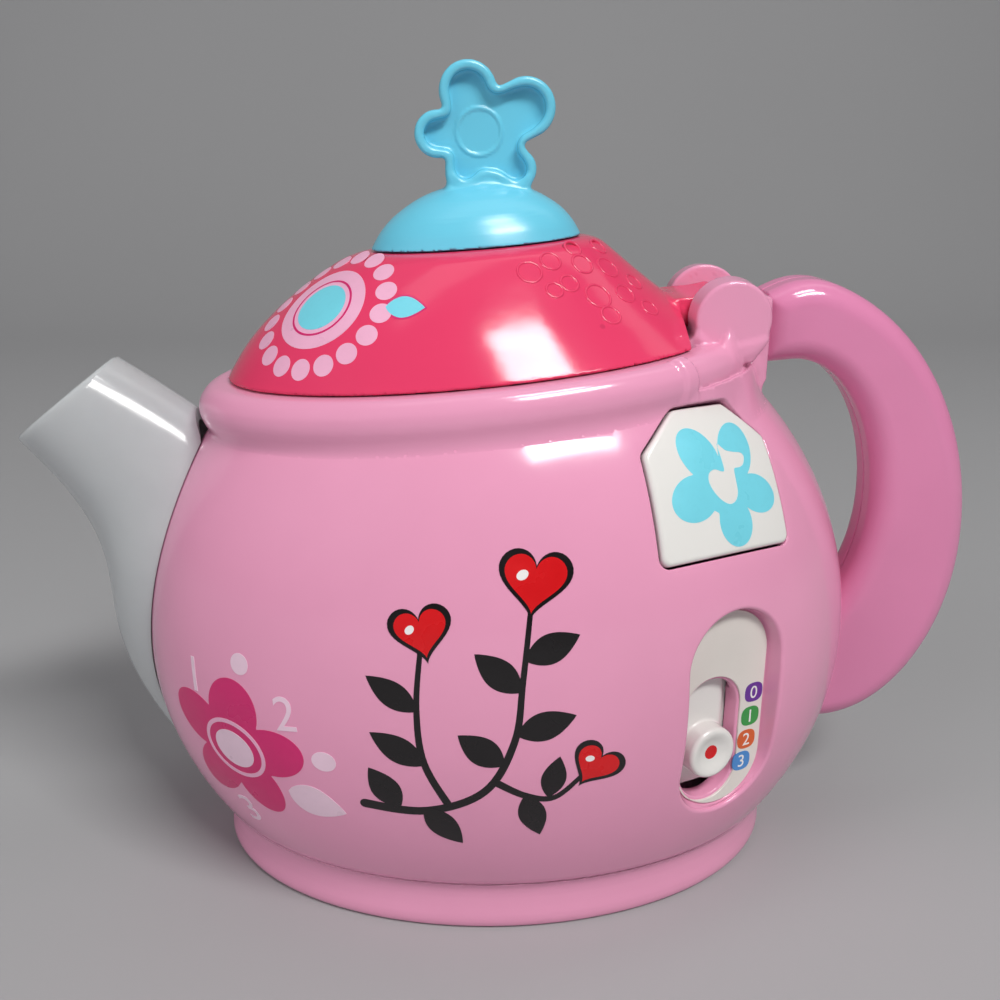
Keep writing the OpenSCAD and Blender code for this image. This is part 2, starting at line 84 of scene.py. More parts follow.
def unit(v):
    v = np.asarray(v, float)
    return v / (np.linalg.norm(v, axis=-1, keepdims=True) + 1e-12)


def lid_r(h):
    h = np.asarray(h, float)
    return 57 - 1.02 * h - .017 * np.maximum(h - 6, 0) ** 1.85 - .016 * np.maximum(h - 18, 0) ** 2


def lid_c(h):
    return LX - 3.1 * 4 * (h / 25.7) * (1 - h / 25.7)


def lid_h(p):
    dx = p[..., 0] - LX
    return (p[..., 2] - LZ - SL * dx) / (1 - SL * .18 * dx / 25.7)


def lid_f(p):
    """Distance to the lid's domed side."""
    h = lid_h(p)
    hc = np.clip(h, -3, 25.7)
    ax, ay = p[..., 0] - lid_c(hc), p[..., 1] / K
    rho = np.sqrt(ax * ax + ay * ay) + 1e-9
    e = .05
    dr = (lid_r(hc + e) - lid_r(hc - e)) / (2 * e)
    g = np.sqrt((ax / rho) ** 2 + (ay / rho / K) ** 2 + dr ** 2)
    return (rho - lid_r(hc)) / g


# ---- signed distance helpers -----------------------------------------
def smin(a, b, r):
    return np.maximum(r, np.minimum(a, b)) - np.sqrt(np.maximum(r - a, 0) ** 2 + np.maximum(r - b, 0) ** 2)


def smax(a, b, r):
    return -smin(-a, -b, r)


def sd_poly(x, y, poly):
    d = np.full(x.shape, 1e30); s = np.ones(x.shape)
    n = len(poly)
    for i in range(n):
        a, b = poly[i], poly[i - 1]
        ex, ey = b[0] - a[0], b[1] - a[1]
        wx, wy = x - a[0], y - a[1]
        t = np.clip((wx * ex + wy * ey) / (ex * ex + ey * ey), 0, 1)
        bx, by = wx - ex * t, wy - ey * t
        d = np.minimum(d, bx * bx + by * by)
        c1, c2, c3 = y >= a[1], y < b[1], ex * wy > ey * wx
        s = np.where((c1 & c2 & c3) | (~c1 & ~c2 & ~c3), -s, s)
    return s * np.sqrt(d)


def extr(d2, t, lo, hi, rr):
    """Extrusion of a 2D distance along t from lo to hi, with edges rounded by rr."""
    w = np.abs(t - (lo + hi) / 2) - (hi - lo) / 2 + rr
    q = d2 + rr
    return np.minimum(np.maximum(q, w), 0) + np.sqrt(np.maximum(q, 0) ** 2 + np.maximum(w, 0) ** 2) - rr


def cyl_y(p, cx, cz, R, lo, hi, rr=0.0):
    return extr(np.sqrt((p[..., 0] - cx) ** 2 + (p[..., 2] - cz) ** 2) - R, p[..., 1], lo, hi, rr)


def cyl_z(p, cx, cy, R, lo, hi, rr=0.0):
    return extr(np.sqrt((p[..., 0] - cx) ** 2 + (p[..., 1] - cy) ** 2) - R, p[..., 2], lo, hi, rr)


def box(p, lo, hi, rr=0.0):
    lo, hi = np.array(lo, float), np.array(hi, float)
    q = np.abs(p - (lo + hi) / 2) - (hi - lo) / 2 + rr
    return np.minimum(q.max(-1), 0) + np.linalg.norm(np.maximum(q, 0), axis=-1) - rr


def smooth_line(pts, n=4, closed=False):
    """Catmull-Rom through the points."""
    P = np.asarray(pts, float)
    N = len(P)
    out = []
    for i in range(N if closed else N - 1):
        if closed:
            a, b, c, d = P[(i - 1) % N], P[i], P[(i + 1) % N], P[(i + 2) % N]
        else:
            a, b, c, d = P[max(i - 1, 0)], P[i], P[i + 1], P[min(i + 2, N - 1)]
        for j in range(n):
            t = j / n
            out.append(.5 * ((2 * b) + (c - a) * t + (2 * a - 5 * b + 4 * c - d) * t * t + (3 * b - a - 3 * c + d) * t ** 3))
    if not closed:
        out.append(P[-1])
    return np.array(out)


# ---- surface nets: a closed quad mesh of a distance function ---------
def nets(f, lo, hi, h, iters=3, block=8, slack=1.7):
    lo, hi = np.array(lo, float), np.array(hi, float)
    nb = np.ceil((hi - lo) / (h * block)).astype(int)
    dims = nb * block + 1
    G = np.empty(dims, np.float32)
    ci = np.stack(np.meshgrid(*[np.arange(n) for n in nb], indexing="ij"), -1).reshape(-1, 3)
    cc = lo + (ci + .5) * block * h
    fc = f(cc)
    act = np.abs(fc) < slack * block * h * .8661 + h
    big = np.repeat(np.repeat(np.repeat(np.sign(fc).reshape(nb) * 9, block, 0), block, 1), block, 2)
    G[...] = 9
    G[:-1, :-1, :-1] = big
    G[-1], G[:, -1], G[:, :, -1] = 9, 9, 9
    off = np.stack(np.meshgrid(*[np.arange(block)] * 3, indexing="ij"), -1).reshape(-1, 3)
    ai = ci[act]
    step = max(1, 400000 // len(off))
    for s in range(0, len(ai), step):
        idx = (ai[s:s + step, None, :] * block + off[None]).reshape(-1, 3)
        G[idx[:, 0], idx[:, 1], idx[:, 2]] = f(lo + idx * h)
    S = G < 0
    c = np.zeros(tuple(dims - 1), np.uint8)
    corners = [(i, j, k) for i in (0, 1) for j in (0, 1) for k in (0, 1)]
    for i, j, k in corners:
        c += S[i:dims[0] - 1 + i, j:dims[1] - 1 + j, k:dims[2] - 1 + k]
    cells = np.argwhere((c > 0) & (c < 8))
    ids = np.full(tuple(dims - 1), -1, np.int32)
    ids[cells[:, 0], cells[:, 1], cells[:, 2]] = np.arange(len(cells))
    val = {q: G[cells[:, 0] + q[0], cells[:, 1] + q[1], cells[:, 2] + q[2]].astype(float) for q in corners}
    acc = np.zeros((len(cells), 3)); cnt = np.zeros(len(cells))
    for a in corners:
        for ax in range(3):
            if a[ax]:
                continue
            b = list(a); b[ax] = 1; b = tuple(b)
            va, vb = val[a], val[b]
            m = (va < 0) != (vb < 0)
            t = np.where(m, va / np.where(m, va - vb, 1), 0)
            pos = np.tile(np.array(a, float), (len(cells), 1)); pos[:, ax] += t
            acc += pos * m[:, None]; cnt += m
    V = lo + (cells + acc / cnt[:, None]) * h
    F = []
    for ax in range(3):
        sl0 = [slice(None)] * 3; sl1 = [slice(None)] * 3
        sl0[ax] = slice(0, -1); sl1[ax] = slice(1, None)
        a, b = S[tuple(sl0)], S[tuple(sl1)]
        e = np.argwhere(a != b)
        u, v = (ax + 1) % 3, (ax + 2) % 3
        ok = (e[:, u] > 0) & (e[:, v] > 0) & (e[:, u] < dims[u] - 1) & (e[:, v] < dims[v] - 1)
        e = e[ok]
        q = []
        for du, dv in ((-1, -1), (0, -1), (0, 0), (-1, 0)):
            m = e.copy(); m[:, u] += du; m[:, v] += dv
            q.append(ids[m[:, 0], m[:, 1], m[:, 2]])
        q = np.stack(q, 1)
        ins = S[e[:, 0], e[:, 1], e[:, 2]]
        q[~ins] = q[~ins][:, ::-1]
        F.append(q)
    F = np.concatenate(F)
    for _ in range(iters):
        g = grad(f, V)
        v = f(V)
        stp = -(v / (np.sum(g * g, -1) + 1e-6))[:, None] * g
        L = np.linalg.norm(stp, axis=1, keepdims=True)
        V = V + stp * np.minimum(1, .6 * h / (L + 1e-9))
        # even the vertices out along the surface
        if _ < iters - 1:
            nv = np.zeros_like(V); nc = np.zeros(len(V))
            for i in range(4):
                a, b = F[:, i], F[:, (i + 1) % 4]
                for d in range(3):
                    nv[:, d] += np.bincount(a, V[b, d], len(V)) + np.bincount(b, V[a, d], len(V))
                nc += np.bincount(a, minlength=len(V)) + np.bincount(b, minlength=len(V))
            mid = nv / np.maximum(nc, 1)[:, None]
            n = unit(g)
            dlt = mid - V
            dlt -= np.sum(dlt * n, -1, keepdims=True) * n
            V = V + .5 * dlt
    return V, F


# ======================================================================
# Mesh makers
# ======================================================================
def make(name, V, F, mat, body="pot", reps=(), slot=None, sharp=None, normals=None):
    V = np.asarray(V, float) * .001
    me = bpy.data.meshes.new(name)
    if isinstance(F, np.ndarray):
        F = F.tolist()
    me.from_pydata(V.tolist(), [], F)
    me.validate()
    me.update()
    me.shade_smooth()
    if normals is not None:
        me.normals_split_custom_set_from_vertices(unit(normals).tolist())
    elif sharp:
        me.set_sharp_from_angle(angle=math.radians(sharp))
    o = bpy.data.objects.new(name, me)
    scene.collection.objects.link(o)
    me.materials.append(mat)
    if reps:
        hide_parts(*reps)
    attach(o, body)
    return o


def sdf_mesh(name, f, lo, hi, h, mat, **kw):
    V, F = nets(f, lo, hi, h)
    n = grad(f, V, .03)
    return make(name, V, F, mat, normals=n, **kw)


def strip(a, b):
    """Quads between two closed rings of vertex numbers."""
    n = len(a)
    return [(a[i], a[(i + 1) % n], b[(i + 1) % n], b[i]) for i in range(n)]


def lathe(profile, xc=0., z0=0., tilt=0., k=K, n=160, closed_profile=True):
    """Closed profile (r, h) turned about Z, squashed in Y, tilted. Points with r = 0 become poles."""
    V, F, rows = [], [], []
    P = [tuple(q) for q in profile]
    for r, h in P:
        if r < 1e-6:
            rows.append([len(V)]); V.append((xc, 0, z0 + h))
        else:
            row = []
            for i in range(n):
                a = 2 * math.pi * i / n
                x = r * math.cos(a)
                row.append(len(V)); V.append((xc + x, k * r * math.sin(a), z0 + h + math.tan(math.radians(tilt)) * x))
            rows.append(row)
    m = len(rows)
    for j in range(m if closed_profile else m - 1):
        a, b = rows[j], rows[(j + 1) % m]
        if len(a) == 1 and len(b) == 1:
            continue
        if len(a) == 1:
            F += [(a[0], b[i], b[(i + 1) % n]) for i in range(n)]
        elif len(b) == 1:
            F += [(a[(i + 1) % n], a[i], b[0]) for i in range(n)]
        else:
            F += [(a[(i + 1) % n], a[i], b[i], b[(i + 1) % n]) for i in range(n)]
    return np.array(V), F


def outward(V, F):
    """Flips the faces when the closed mesh is inside out."""
    V = np.asarray(V)
    vol = 0
    for q in F:
        for i in range(1, len(q) - 1):
            vol += np.dot(V[q[0]], np.cross(V[q[i]], V[q[i + 1]]))
    return F if vol > 0 else [tuple(reversed(q)) for q in F]


def in_loops(P, loops):
    c = np.zeros(len(P), bool)
    for L in loops:
        a, b = L, np.roll(L, -1, 0)
        for (x0, y0), (x1, y1) in zip(a, b):
            m = (P[:, 1] < y0) != (P[:, 1] < y1)
            if m.any():
                xi = x0 + (P[:, 1] - y0) / np.where(y1 == y0, 1e-12, y1 - y0) * (x1 - x0)
                c ^= m & (P[:, 0] < xi)
    return c


def near(P, loops, d):
    """True where P lies within d of any loop."""
    out = np.zeros(len(P), bool)
    for L in loops:
        a, b = L, np.roll(L, -1, 0)
        for p0, p1 in zip(a, b):
            e = p1 - p0
            box_ = (P[:, 0] > min(p0[0], p1[0]) - d) & (P[:, 0] < max(p0[0], p1[0]) + d) & (P[:, 1] > min(p0[1], p1[1]) - d) & (P[:, 1] < max(p0[1], p1[1]) + d) & ~out
            if not box_.any():
                continue
            w = P[box_] - p0
            t = np.clip(w @ e / (e @ e + 1e-12), 0, 1)
            out[np.where(box_)[0][np.linalg.norm(w - t[:, None] * e, axis=1) < d]] = True
    return out


def tri2d(loops, spacing):
    """Fills closed loops (even-odd) with triangles. Returns points and faces; the loops' points come first."""
    loops = [np.asarray(L, float) for L in loops]
    lo = np.min([L.min(0) for L in loops], 0); hi = np.max([L.max(0) for L in loops], 0)
    xs = np.arange(lo[0] - spacing, hi[0] + spacing, spacing)
    ys = np.arange(lo[1] - spacing, hi[1] + spacing, spacing * .866)
    G = np.array([(x + (spacing / 2 if j % 2 else 0), y) for j, y in enumerate(ys) for x in xs])
    G = G[in_loops(G, loops)]
    G = G[~near(G, loops, spacing * .55)] if len(G) else G
    pts = np.concatenate(loops + ([G] if len(G) else []))
    edges, s = [], 0
    for L in loops:
        n = len(L)
        edges += [(s + i, s + (i + 1) % n) for i in range(n)]
        s += n
    vc, _, fc, ov, _, _ = delaunay_2d_cdt([Vector(p) for p in pts], edges, [], 0, 1e-6)
    back = [o[0] if o else -1 for o in ov]
    if -1 in back:   # constraint edges crossed: keep the new points after the others
        extra = [i for i, b in enumerate(back) if b < 0]
        for i in extra:
            back[i] = len(pts); pts = np.vstack([pts, [vc[i][0], vc[i][1]]])
    F = np.array([[back[i] for i in f] for f in fc if len(f) == 3])
    C = pts[F].mean(1)
    F = F[in_loops(C, loops)]
    a, b, c = pts[F[:, 0]], pts[F[:, 1]], pts[F[:, 2]]
    ar = (b[:, 0] - a[:, 0]) * (c[:, 1] - a[:, 1]) - (b[:, 1] - a[:, 1]) * (c[:, 0] - a[:, 0])
    F = F[np.abs(ar) > 1e-7]; ar = ar[np.abs(ar) > 1e-7]
    F[ar < 0] = F[ar < 0][:, ::-1]
    return pts, F


def frame_at(c, n):
    """Local axes with X along the surface, Y up it and Z out of it."""
    n = unit(n)
    u = unit(np.cross([0, 0, 1], n)); v = np.cross(n, u)
    return np.array(c, float), u, v, n


def placer(f, c, u, v, n, sink=0.0):
    """Carries (u, v) points to the surface f = 0, going along n, and gives the normals there."""
    def go(P):
        P = np.asarray(P, float)
        q = c + P[:, :1] * u + P[:, 1:] * v
        t = np.zeros(len(q))
        for _ in range(12):
            x = q + t[:, None] * n
            d = f(x)
            e = .05
            s = (f(x + e * n) - f(x - e * n)) / (2 * e)
            s = np.where(np.abs(s) < .15, .15 * np.sign(s + 1e-9), s)
            t = t - np.clip(d / s, -4, 4)
        x = q + t[:, None] * n
        g = unit(grad(f, x))
        return x, g
    return go


def print_on(name, loops, place, mat, body="pot", spacing=1.4, lift=.05, sink=.12):
    """A thin closed layer of ink in the shape of the loops, lying on the surface."""
    P, F = tri2d(loops, spacing)
    X, N = place(P)
    n = len(P)
    V = np.vstack([X + N * lift, X - N * sink])
    faces = [tuple(f) for f in F] + [tuple(int(i) + n for i in f[::-1]) for f in F]
    # sides, from the border edges
    cnt = {}
    for f in F:
        for i in range(3):
            e = (int(f[i]), int(f[(i + 1) % 3]))
            cnt[e] = cnt.get(e, 0) + 1
    for (a, b) in cnt:
        if (b, a) not in cnt:
            faces.append((b, a, a + n, b + n))
    faces = [tuple(int(i) for i in f) for f in faces]
    return make(name, V, faces, mat, body=body, sharp=40)


def circle(cx, cy, r, n=None, ry=None, rot=0.):
    ry = r if ry is None else ry
    n = n or max(20, int(2 * math.pi * max(r, ry) / .45))
    a = np.linspace(0, 2 * math.pi, n, endpoint=False)
    x, y = r * np.cos(a), ry * np.sin(a)
    c, s = math.cos(rot), math.sin(rot)
    return np.stack([cx + c * x - s * y, cy + s * x + c * y], 1)


def leaf_shape(a, b, w, round_start=0.0, n=22, bend=0.0):
    """Almond from a to b, w wide. round_start 1 makes the end at a round."""
    a, b = np.array(a, float), np.array(b, float)
    d = b - a; L = np.linalg.norm(d); d /= L; m = np.array([-d[1], d[0]])
    t = np.linspace(0, 1, n)
    prof = w / 2 * np.sin(np.pi * t ** (1 - .45 * round_start)) ** (1 - .35 * round_start)
    mid = bend * 4 * t * (1 - t)
    up = a + np.outer(t * L, d) + np.outer(mid + prof, m)
    dn = a + np.outer(t * L, d) + np.outer(mid - prof, m)
    return np.vstack([dn[:-1], up[::-1][:-1]])


def ribbon(path, w0, w1, n=None):
    """Outline of a tapering stroke with round ends."""
    P = smooth_line(path, 8)
    T = unit(np.gradient(P, axis=0)); M = np.stack([-T[:, 1], T[:, 0]], 1)
    w = np.linspace(w0, w1, len(P))[:, None] / 2
    L, R = P + M * w, P - M * w

    def cap(c, m, r, k=7):
        a0 = math.atan2(m[1], m[0])
        return np.array([[c[0] + r * math.cos(a0 + math.pi * (i + 1) / (k + 1)), c[1] + r * math.sin(a0 + math.pi * (i + 1) / (k + 1))] for i in range(k)])
    return np.vstack([R, cap(P[-1], -M[-1], w[-1, 0]), L[::-1], cap(P[0], M[0], w[0, 0])])


def heart_shape(cx, cy, s, rot=0., n=60):
    t = np.linspace(0, 2 * math.pi, n, endpoint=False)
    x = 16 * np.sin(t) ** 3
    y = 13 * np.cos(t) - 5 * np.cos(2 * t) - 2 * np.cos(3 * t) - np.cos(4 * t)
    x, y = x * s / 32, (y + 2.5) * s / 32
    c, q = math.cos(rot), math.sin(rot)
    return np.stack([cx + c * x - q * y, cy + q * x + c * y], 1)[::-1]


def glyph(ch, size, bold=.03):
    """Outline loops of one plain digit from the built-in typeface, centred."""
    cu = bpy.data.curves.new("g", "FONT"); cu.body = ch; cu.size = 1; cu.fill_mode = "NONE"; cu.resolution_u = 6; cu.offset = bold
    o = bpy.data.objects.new("g", cu); scene.collection.objects.link(o)
    me = bpy.data.meshes.new_from_object(o.evaluated_get(bpy.context.evaluated_depsgraph_get()))
    co = np.array([v.co[:2] for v in me.vertices]); nb = {}
    for e in me.edges:
        a, b = e.vertices
        nb.setdefault(a, []).append(b); nb.setdefault(b, []).append(a)
    loops, seen = [], set()
    for s in nb:
        if s in seen:
            continue
        L, prev, cur = [s], None, s
        seen.add(s)
        while True:
            nx = [q for q in nb[cur] if q != prev and q not in seen]
            if not nx:
                break
            prev, cur = cur, nx[0]; seen.add(cur); L.append(cur)
        loops.append(co[L])
    bpy.data.objects.remove(o); bpy.data.meshes.remove(me); bpy.data.curves.remove(cu)
    al = np.vstack(loops); lo, hi = al.min(0), al.max(0)
    k = size / (hi[1] - lo[1])
    return [(L - (lo + hi) / 2) * k for L in loops]


def xf(loops, dx, dy, rot=0., shear=0.):
    c, s = math.cos(rot), math.sin(rot)
    out = []
    for L in loops:
        x, y = L[:, 0] + shear * L[:, 1], L[:, 1]
        out.append(np.stack([dx + c * x - s * y, dy + s * x + c * y], 1))
    return out


# ======================================================================
# Materials
# ======================================================================
def lin(r, g, b):
    def f(c):
        c /= 255
        return c / 12.92 if c <= .04045 else ((c + .055) / 1.055) ** 2.4
    return (f(r), f(g), f(b), 1)


class Mat:
    def __init__(self, name):
        self.m = bpy.data.materials.new(name); self.m.use_nodes = True
        self.t = self.m.node_tree; self.b = self.t.nodes["Principled BSDF"]
        self.co = self.t.nodes.new("ShaderNodeTexCoord")

    def n(self, kind, **kw):
        x = self.t.nodes.new(kind)
        for k_, v in kw.items():
            if k_.startswith("_"):
                setattr(x, k_[1:], v)
            else:
                x.inputs[k_.replace("__", " ")].default_value = v
        return x

    def l(self, a, b):
        self.t.links.new(a, b)

    def noise(self, scale, detail=3., rough=.5, stretch=None):
        m = self.n("ShaderNodeMapping")
        if stretch:
            m.inputs["Scale"].default_value = stretch
        self.l(self.co.outputs["Object"], m.inputs["Vector"])
        x = self.n("ShaderNodeTexNoise"); x.inputs["Scale"].default_value = scale
        x.inputs["Detail"].default_value = detail; x.inputs["Roughness"].default_value = rough
        self.l(m.outputs["Vector"], x.inputs["Vector"])
        return x.outputs["Fac"]

    def ramp(self, fac, a, b, ca=(0, 0, 0, 1), cb=(1, 1, 1, 1)):
        r = self.n("ShaderNodeValToRGB")
        r.color_ramp.elements[0].position = a; r.color_ramp.elements[0].color = ca
        r.color_ramp.elements[1].position = b; r.color_ramp.elements[1].color = cb
        self.l(fac, r.inputs["Fac"])
        return r.outputs["Color"]

    def rng(self, fac, a, b, lo, hi):
        r = self.n("ShaderNodeMapRange")
        for i, v in zip(("From Min", "From Max", "To Min", "To Max"), (a, b, lo, hi)):
            r.inputs[i].default_value = v
        self.l(fac, r.inputs["Value"])
        return r.outputs["Result"]

    def mix(self, fac, a, b):
        x = self.n("ShaderNodeMix"); x.data_type = "RGBA"
        if isinstance(fac, (int, float)):
            x.inputs[0].default_value = fac
        else:
            self.l(fac, x.inputs[0])
        for i, v in ((6, a), (7, b)):
            if isinstance(v, tuple):
                x.inputs[i].default_value = v
            else:
                self.l(v, x.inputs[i])
        return x.outputs[2]


def sc(c, k):
    return (c[0] * k, c[1] * k, c[2] * k, 1)


def plastic(name, col, rough=.26, coat=.0, var=.05, peel=.02, wear=.5, sss=0., ior=1.48, dark=None):
    """Moulded gloss plastic: slow colour drift, orange peel, faint rubbed patches, hairline scratches and specks."""
    M = Mat(name); b = M.b
    big = M.noise(28, 3)
    base = M.mix(M.rng(big, .3, .7, 0, 1), sc(col, 1 - var), sc(col, 1 + var))
    # specks of ground-in dirt
    vor = M.n("ShaderNodeTexVoronoi"); vor.feature = "F1"; vor.inputs["Scale"].default_value = 75
    M.l(M.co.outputs["Object"], vor.inputs["Vector"])
    spot = M.rng(vor.outputs["Distance"], .035, .06, 1, 0)
    keep = M.rng(M.noise(41, 1), .66, .69, 0, 1)
    mul = M.n("ShaderNodeMath"); mul.operation = "MULTIPLY"
    M.l(spot, mul.inputs[0]); M.l(keep, mul.inputs[1])
    f2 = M.n("ShaderNodeMath"); f2.operation = "MULTIPLY"; f2.inputs[1].default_value = .55 * wear
    M.l(mul.outputs[0], f2.inputs[0])
    base = M.mix(f2.outputs[0], base, sc(col, .35))
    M.l(base, b.inputs["Base Color"])
    # roughness: rubbed patches
    r1 = M.rng(M.noise(45, 4, .6), .3, .75, rough - .015, rough + .03 * (1 + wear))
    M.l(r1, b.inputs["Roughness"])
    # bump: orange peel plus long fine scratches
    pe = M.noise(420, 2, .5)
    s1 = M.rng(M.noise(60, 2, .5, (1, 1, 14)), .70, .74, 0, 1)
    s2 = M.rng(M.noise(60, 2, .5, (16, 3, 1)), .71, .74, 0, 1)
    ad = M.n("ShaderNodeMath"); ad.operation = "ADD"
    M.l(s1, ad.inputs[0]); M.l(s2, ad.inputs[1])
    sm = M.n("ShaderNodeMath"); sm.operation = "MULTIPLY"; sm.inputs[1].default_value = -.35 * wear
    M.l(ad.outputs[0], sm.inputs[0])
    su = M.n("ShaderNodeMath"); su.operation = "ADD"
    M.l(pe, su.inputs[0]); M.l(sm.outputs[0], su.inputs[1])
    bp = M.n("ShaderNodeBump"); bp.inputs["Strength"].default_value = peel; bp.inputs["Distance"].default_value = .0006
    M.l(su.outputs[0], bp.inputs["Height"])
    M.l(bp.outputs["Normal"], b.inputs["Normal"])
    b.inputs["IOR"].default_value = ior
    b.inputs["Coat Weight"].default_value = coat
    b.inputs["Coat Roughness"].default_value = .08
    if sss:
        b.inputs["Subsurface Weight"].default_value = sss
        b.inputs["Subsurface Radius"].default_value = (1, .55, .6)
        b.inputs["Subsurface Scale"].default_value = .004
    return M.m


def ink(name, col, rough=.28, worn=.5):
    """Pad print: dense ink with a few pin holes and a slight unevenness."""
    M = Mat(name); b = M.b
    v = M.mix(M.rng(M.noise(60, 3), .3, .7, 0, 1), sc(col, .94), sc(col, 1.05))
    sp = M.rng(M.noise(900, 1), .5, .78, 0, .25 * worn)
    v = M.mix(sp, v, sc(col, .8))
    M.l(v, b.inputs["Base Color"])
    M.l(M.rng(M.noise(120, 3), .3, .7, rough - .03, rough + .1), b.inputs["Roughness"])
    bp = M.n("ShaderNodeBump"); bp.inputs["Strength"].default_value = .03; bp.inputs["Distance"].default_value = .0004
    M.l(M.noise(600, 2), bp.inputs["Height"]); M.l(bp.outputs["Normal"], b.inputs["Normal"])
    return M.m


def metal(name, col, rough=.3, stretch=(1, 1, 1)):
    M = Mat(name); b = M.b
    b.inputs["Metallic"].default_value = 1
    M.l(M.mix(M.noise(300, 3), sc(col, .85), sc(col, 1.08)), b.inputs["Base Color"])
    M.l(M.rng(M.noise(500, 3, .6, stretch), .3, .7, rough - .08, rough + .12), b.inputs["Roughness"])
    bp = M.n("ShaderNodeBump"); bp.inputs["Strength"].default_value = .1; bp.inputs["Distance"].default_value = .0003
    M.l(M.noise(900, 2, .5, stretch), bp.inputs["Height"]); M.l(bp.outputs["Normal"], b.inputs["Normal"])
    return M.m


def matte(name, col, rough=.6, var=.12, bump=.15, scale=400):
    M = Mat(name); b = M.b
    M.l(M.mix(M.rng(M.noise(80, 3), .3, .7, 0, 1), sc(col, 1 - var), sc(col, 1 + var)), b.inputs["Base Color"])
    M.l(M.rng(M.noise(scale, 2), .3, .7, rough - .06, rough + .08), b.inputs["Roughness"])
    bp = M.n("ShaderNodeBump"); bp.inputs["Strength"].default_value = bump; bp.inputs["Distance"].default_value = .0003
    M.l(M.noise(scale * 2, 2), bp.inputs["Height"]); M.l(bp.outputs["Normal"], b.inputs["Normal"])
    return M.m


PINK = lin(233, 158, 191)
pink = plastic("pink_plastic", PINK, rough=.12, sss=.0, var=.025)
# the handle is the pot's pink plastic again, painted darker and more saturated: painted shade for how the handle is lit
handle_pink_painted_shade = plastic("handle_plastic_painted_shade", lin(222, 136, 177), rough=.12, var=.025)
hot = plastic("lid_plastic", lin(228, 64, 105), rough=.12, var=.03)
blue = plastic("knob_plastic", lin(110, 205, 232), rough=.24, wear=.3, var=.03)
white = plastic("white_plastic", lin(230, 228, 225), rough=.16, wear=.4, var=.02)
label_m = plastic("label_card", lin(226, 220, 214), rough=.42, wear=.3, peel=.01)
ink_magenta = ink("ink_magenta", lin(212, 38, 112))
ink_pale = ink("ink_pale", lin(238, 205, 224))
ink_blue = ink("ink_blue", lin(120, 214, 232))
ink_white = ink("ink_white", lin(240, 236, 236))
ink_black = ink("ink_black", lin(20, 16, 18), rough=.24)
ink_red = ink("ink_red", lin(214, 14, 22), rough=.24)
ink_rose = ink("ink_rose", lin(240, 178, 208))
steel = metal("screw_steel", (.62, .62, .64, 1), .32)
dark_m = matte("dark_plastic", lin(34, 34, 36))
board_m = matte("board_green", lin(24, 96, 58), rough=.4, bump=.05)
rubber_m = matte("grey_rubber", lin(120, 120, 124), rough=.7)
cell_m = matte("cell_jacket", lin(52, 54, 58), rough=.35)
wire_m = matte("wire_red", lin(188, 30, 34), rough=.45)
led_m = matte("led_clear", lin(226, 224, 214), rough=.2)
speaker_m = matte("speaker_black", lin(30, 30, 32), rough=.7)

# milky spout plastic
_s = Mat("spout_plastic")
_s.l(_s.mix(_s.rng(_s.noise(30, 3), .3, .7, 0, 1), lin(181, 184, 187), lin(191, 194, 196)), _s.b.inputs["Base Color"])
_s.l(_s.rng(_s.noise(50, 3), .3, .7, .13, .18), _s.b.inputs["Roughness"])
_bp = _s.n("ShaderNodeBump"); _bp.inputs["Strength"].default_value = .02; _bp.inputs["Distance"].default_value = .0006
_s.l(_s.noise(420, 2), _bp.inputs["Height"]); _s.l(_bp.outputs["Normal"], _s.b.inputs["Normal"])
_s.b.inputs["Subsurface Weight"].default_value = .4
_s.b.inputs["Subsurface Radius"].default_value = (1, .95, .9)
_s.b.inputs["Subsurface Scale"].default_value = .006
_s.b.inputs["IOR"].default_value = 1.46
spout_m = _s.m

# ======================================================================
# Pot shells
# ======================================================================
def rounded(centres, r, arc=7, straight=1.6):
    """Convex outline round the centres (counter-clockwise) with corner radius r: points and outward normals."""
    C = np.array(centres, float); n = len(C)
    P, N = [], []
    for i in range(n):
        a, b, c = C[i - 1], C[i], C[(i + 1) % n]
        d0, d1 = b - a, c - b
        a0 = math.atan2(d0[1], d0[0]) - math.pi / 2
        a1 = math.atan2(d1[1], d1[0]) - math.pi / 2
        while a1 < a0:
            a1 += 2 * math.pi
        k = max(2, int(round(arc * (a1 - a0) / (math.pi / 2))) + 1)
        for j in range(k):
            t = a0 + (a1 - a0) * j / (k - 1)
            m = np.array([math.cos(t), math.sin(t)])
            P.append(b + r * m); N.append(m)
        m = np.array([math.cos(a1), math.sin(a1)])
        L = np.linalg.norm(d1); k = int(L // straight)
        for j in range(1, k):
            P.append(b + r * m + d1 * j / k); N.append(m)
    return np.array(P), np.array(N)


TAG_C = [(-14.2, -12.2), (15.8, -12.6), (16.6, 8.2), (8.4, 15.6), (-4.6, 15.4), (-13.4, 8)]
tag_o = pot_at(42, 102.6)
TAG = frame_at(tag_o, grad(pot_f, tag_o[None])[0])
sl_o = pot_at(45.9, 56.3)
SLD = frame_at(sl_o, grad(pot_f, sl_o[None])[0])


def loc(fr, P, d):
    """Points of a local frame: (u, v) and height d along its normal."""
    c, u, v, n = fr
    P = np.asarray(P, float)
    return c + P[:, :1] * u + P[:, 1:2] * v + np.broadcast_to(np.asarray(d, float).reshape(-1, 1), (len(P), 1)) * n


def surf(fr, P, f=pot_f):
    c, u, v, n = fr
    x, g = placer(f, c, u, v, n)(P)
    return x, g


def lip(fr, P, N, e, k=4, f=pot_f):
    """Rings that round an opening's edge: the first lies on the surface, e outside the wall."""
    out = []
    for j in range(k + 1):
        a = math.pi / 2 * j / k
        o, d = e * (1 - math.sin(a)), e * (1 - math.cos(a))
        x, _ = surf(fr, P + N * o, f)
        out.append(x - fr[3] * d)
    return out


def to_param(X):
    th = np.arctan2(X[:, 1] / K, X[:, 0])
    return th


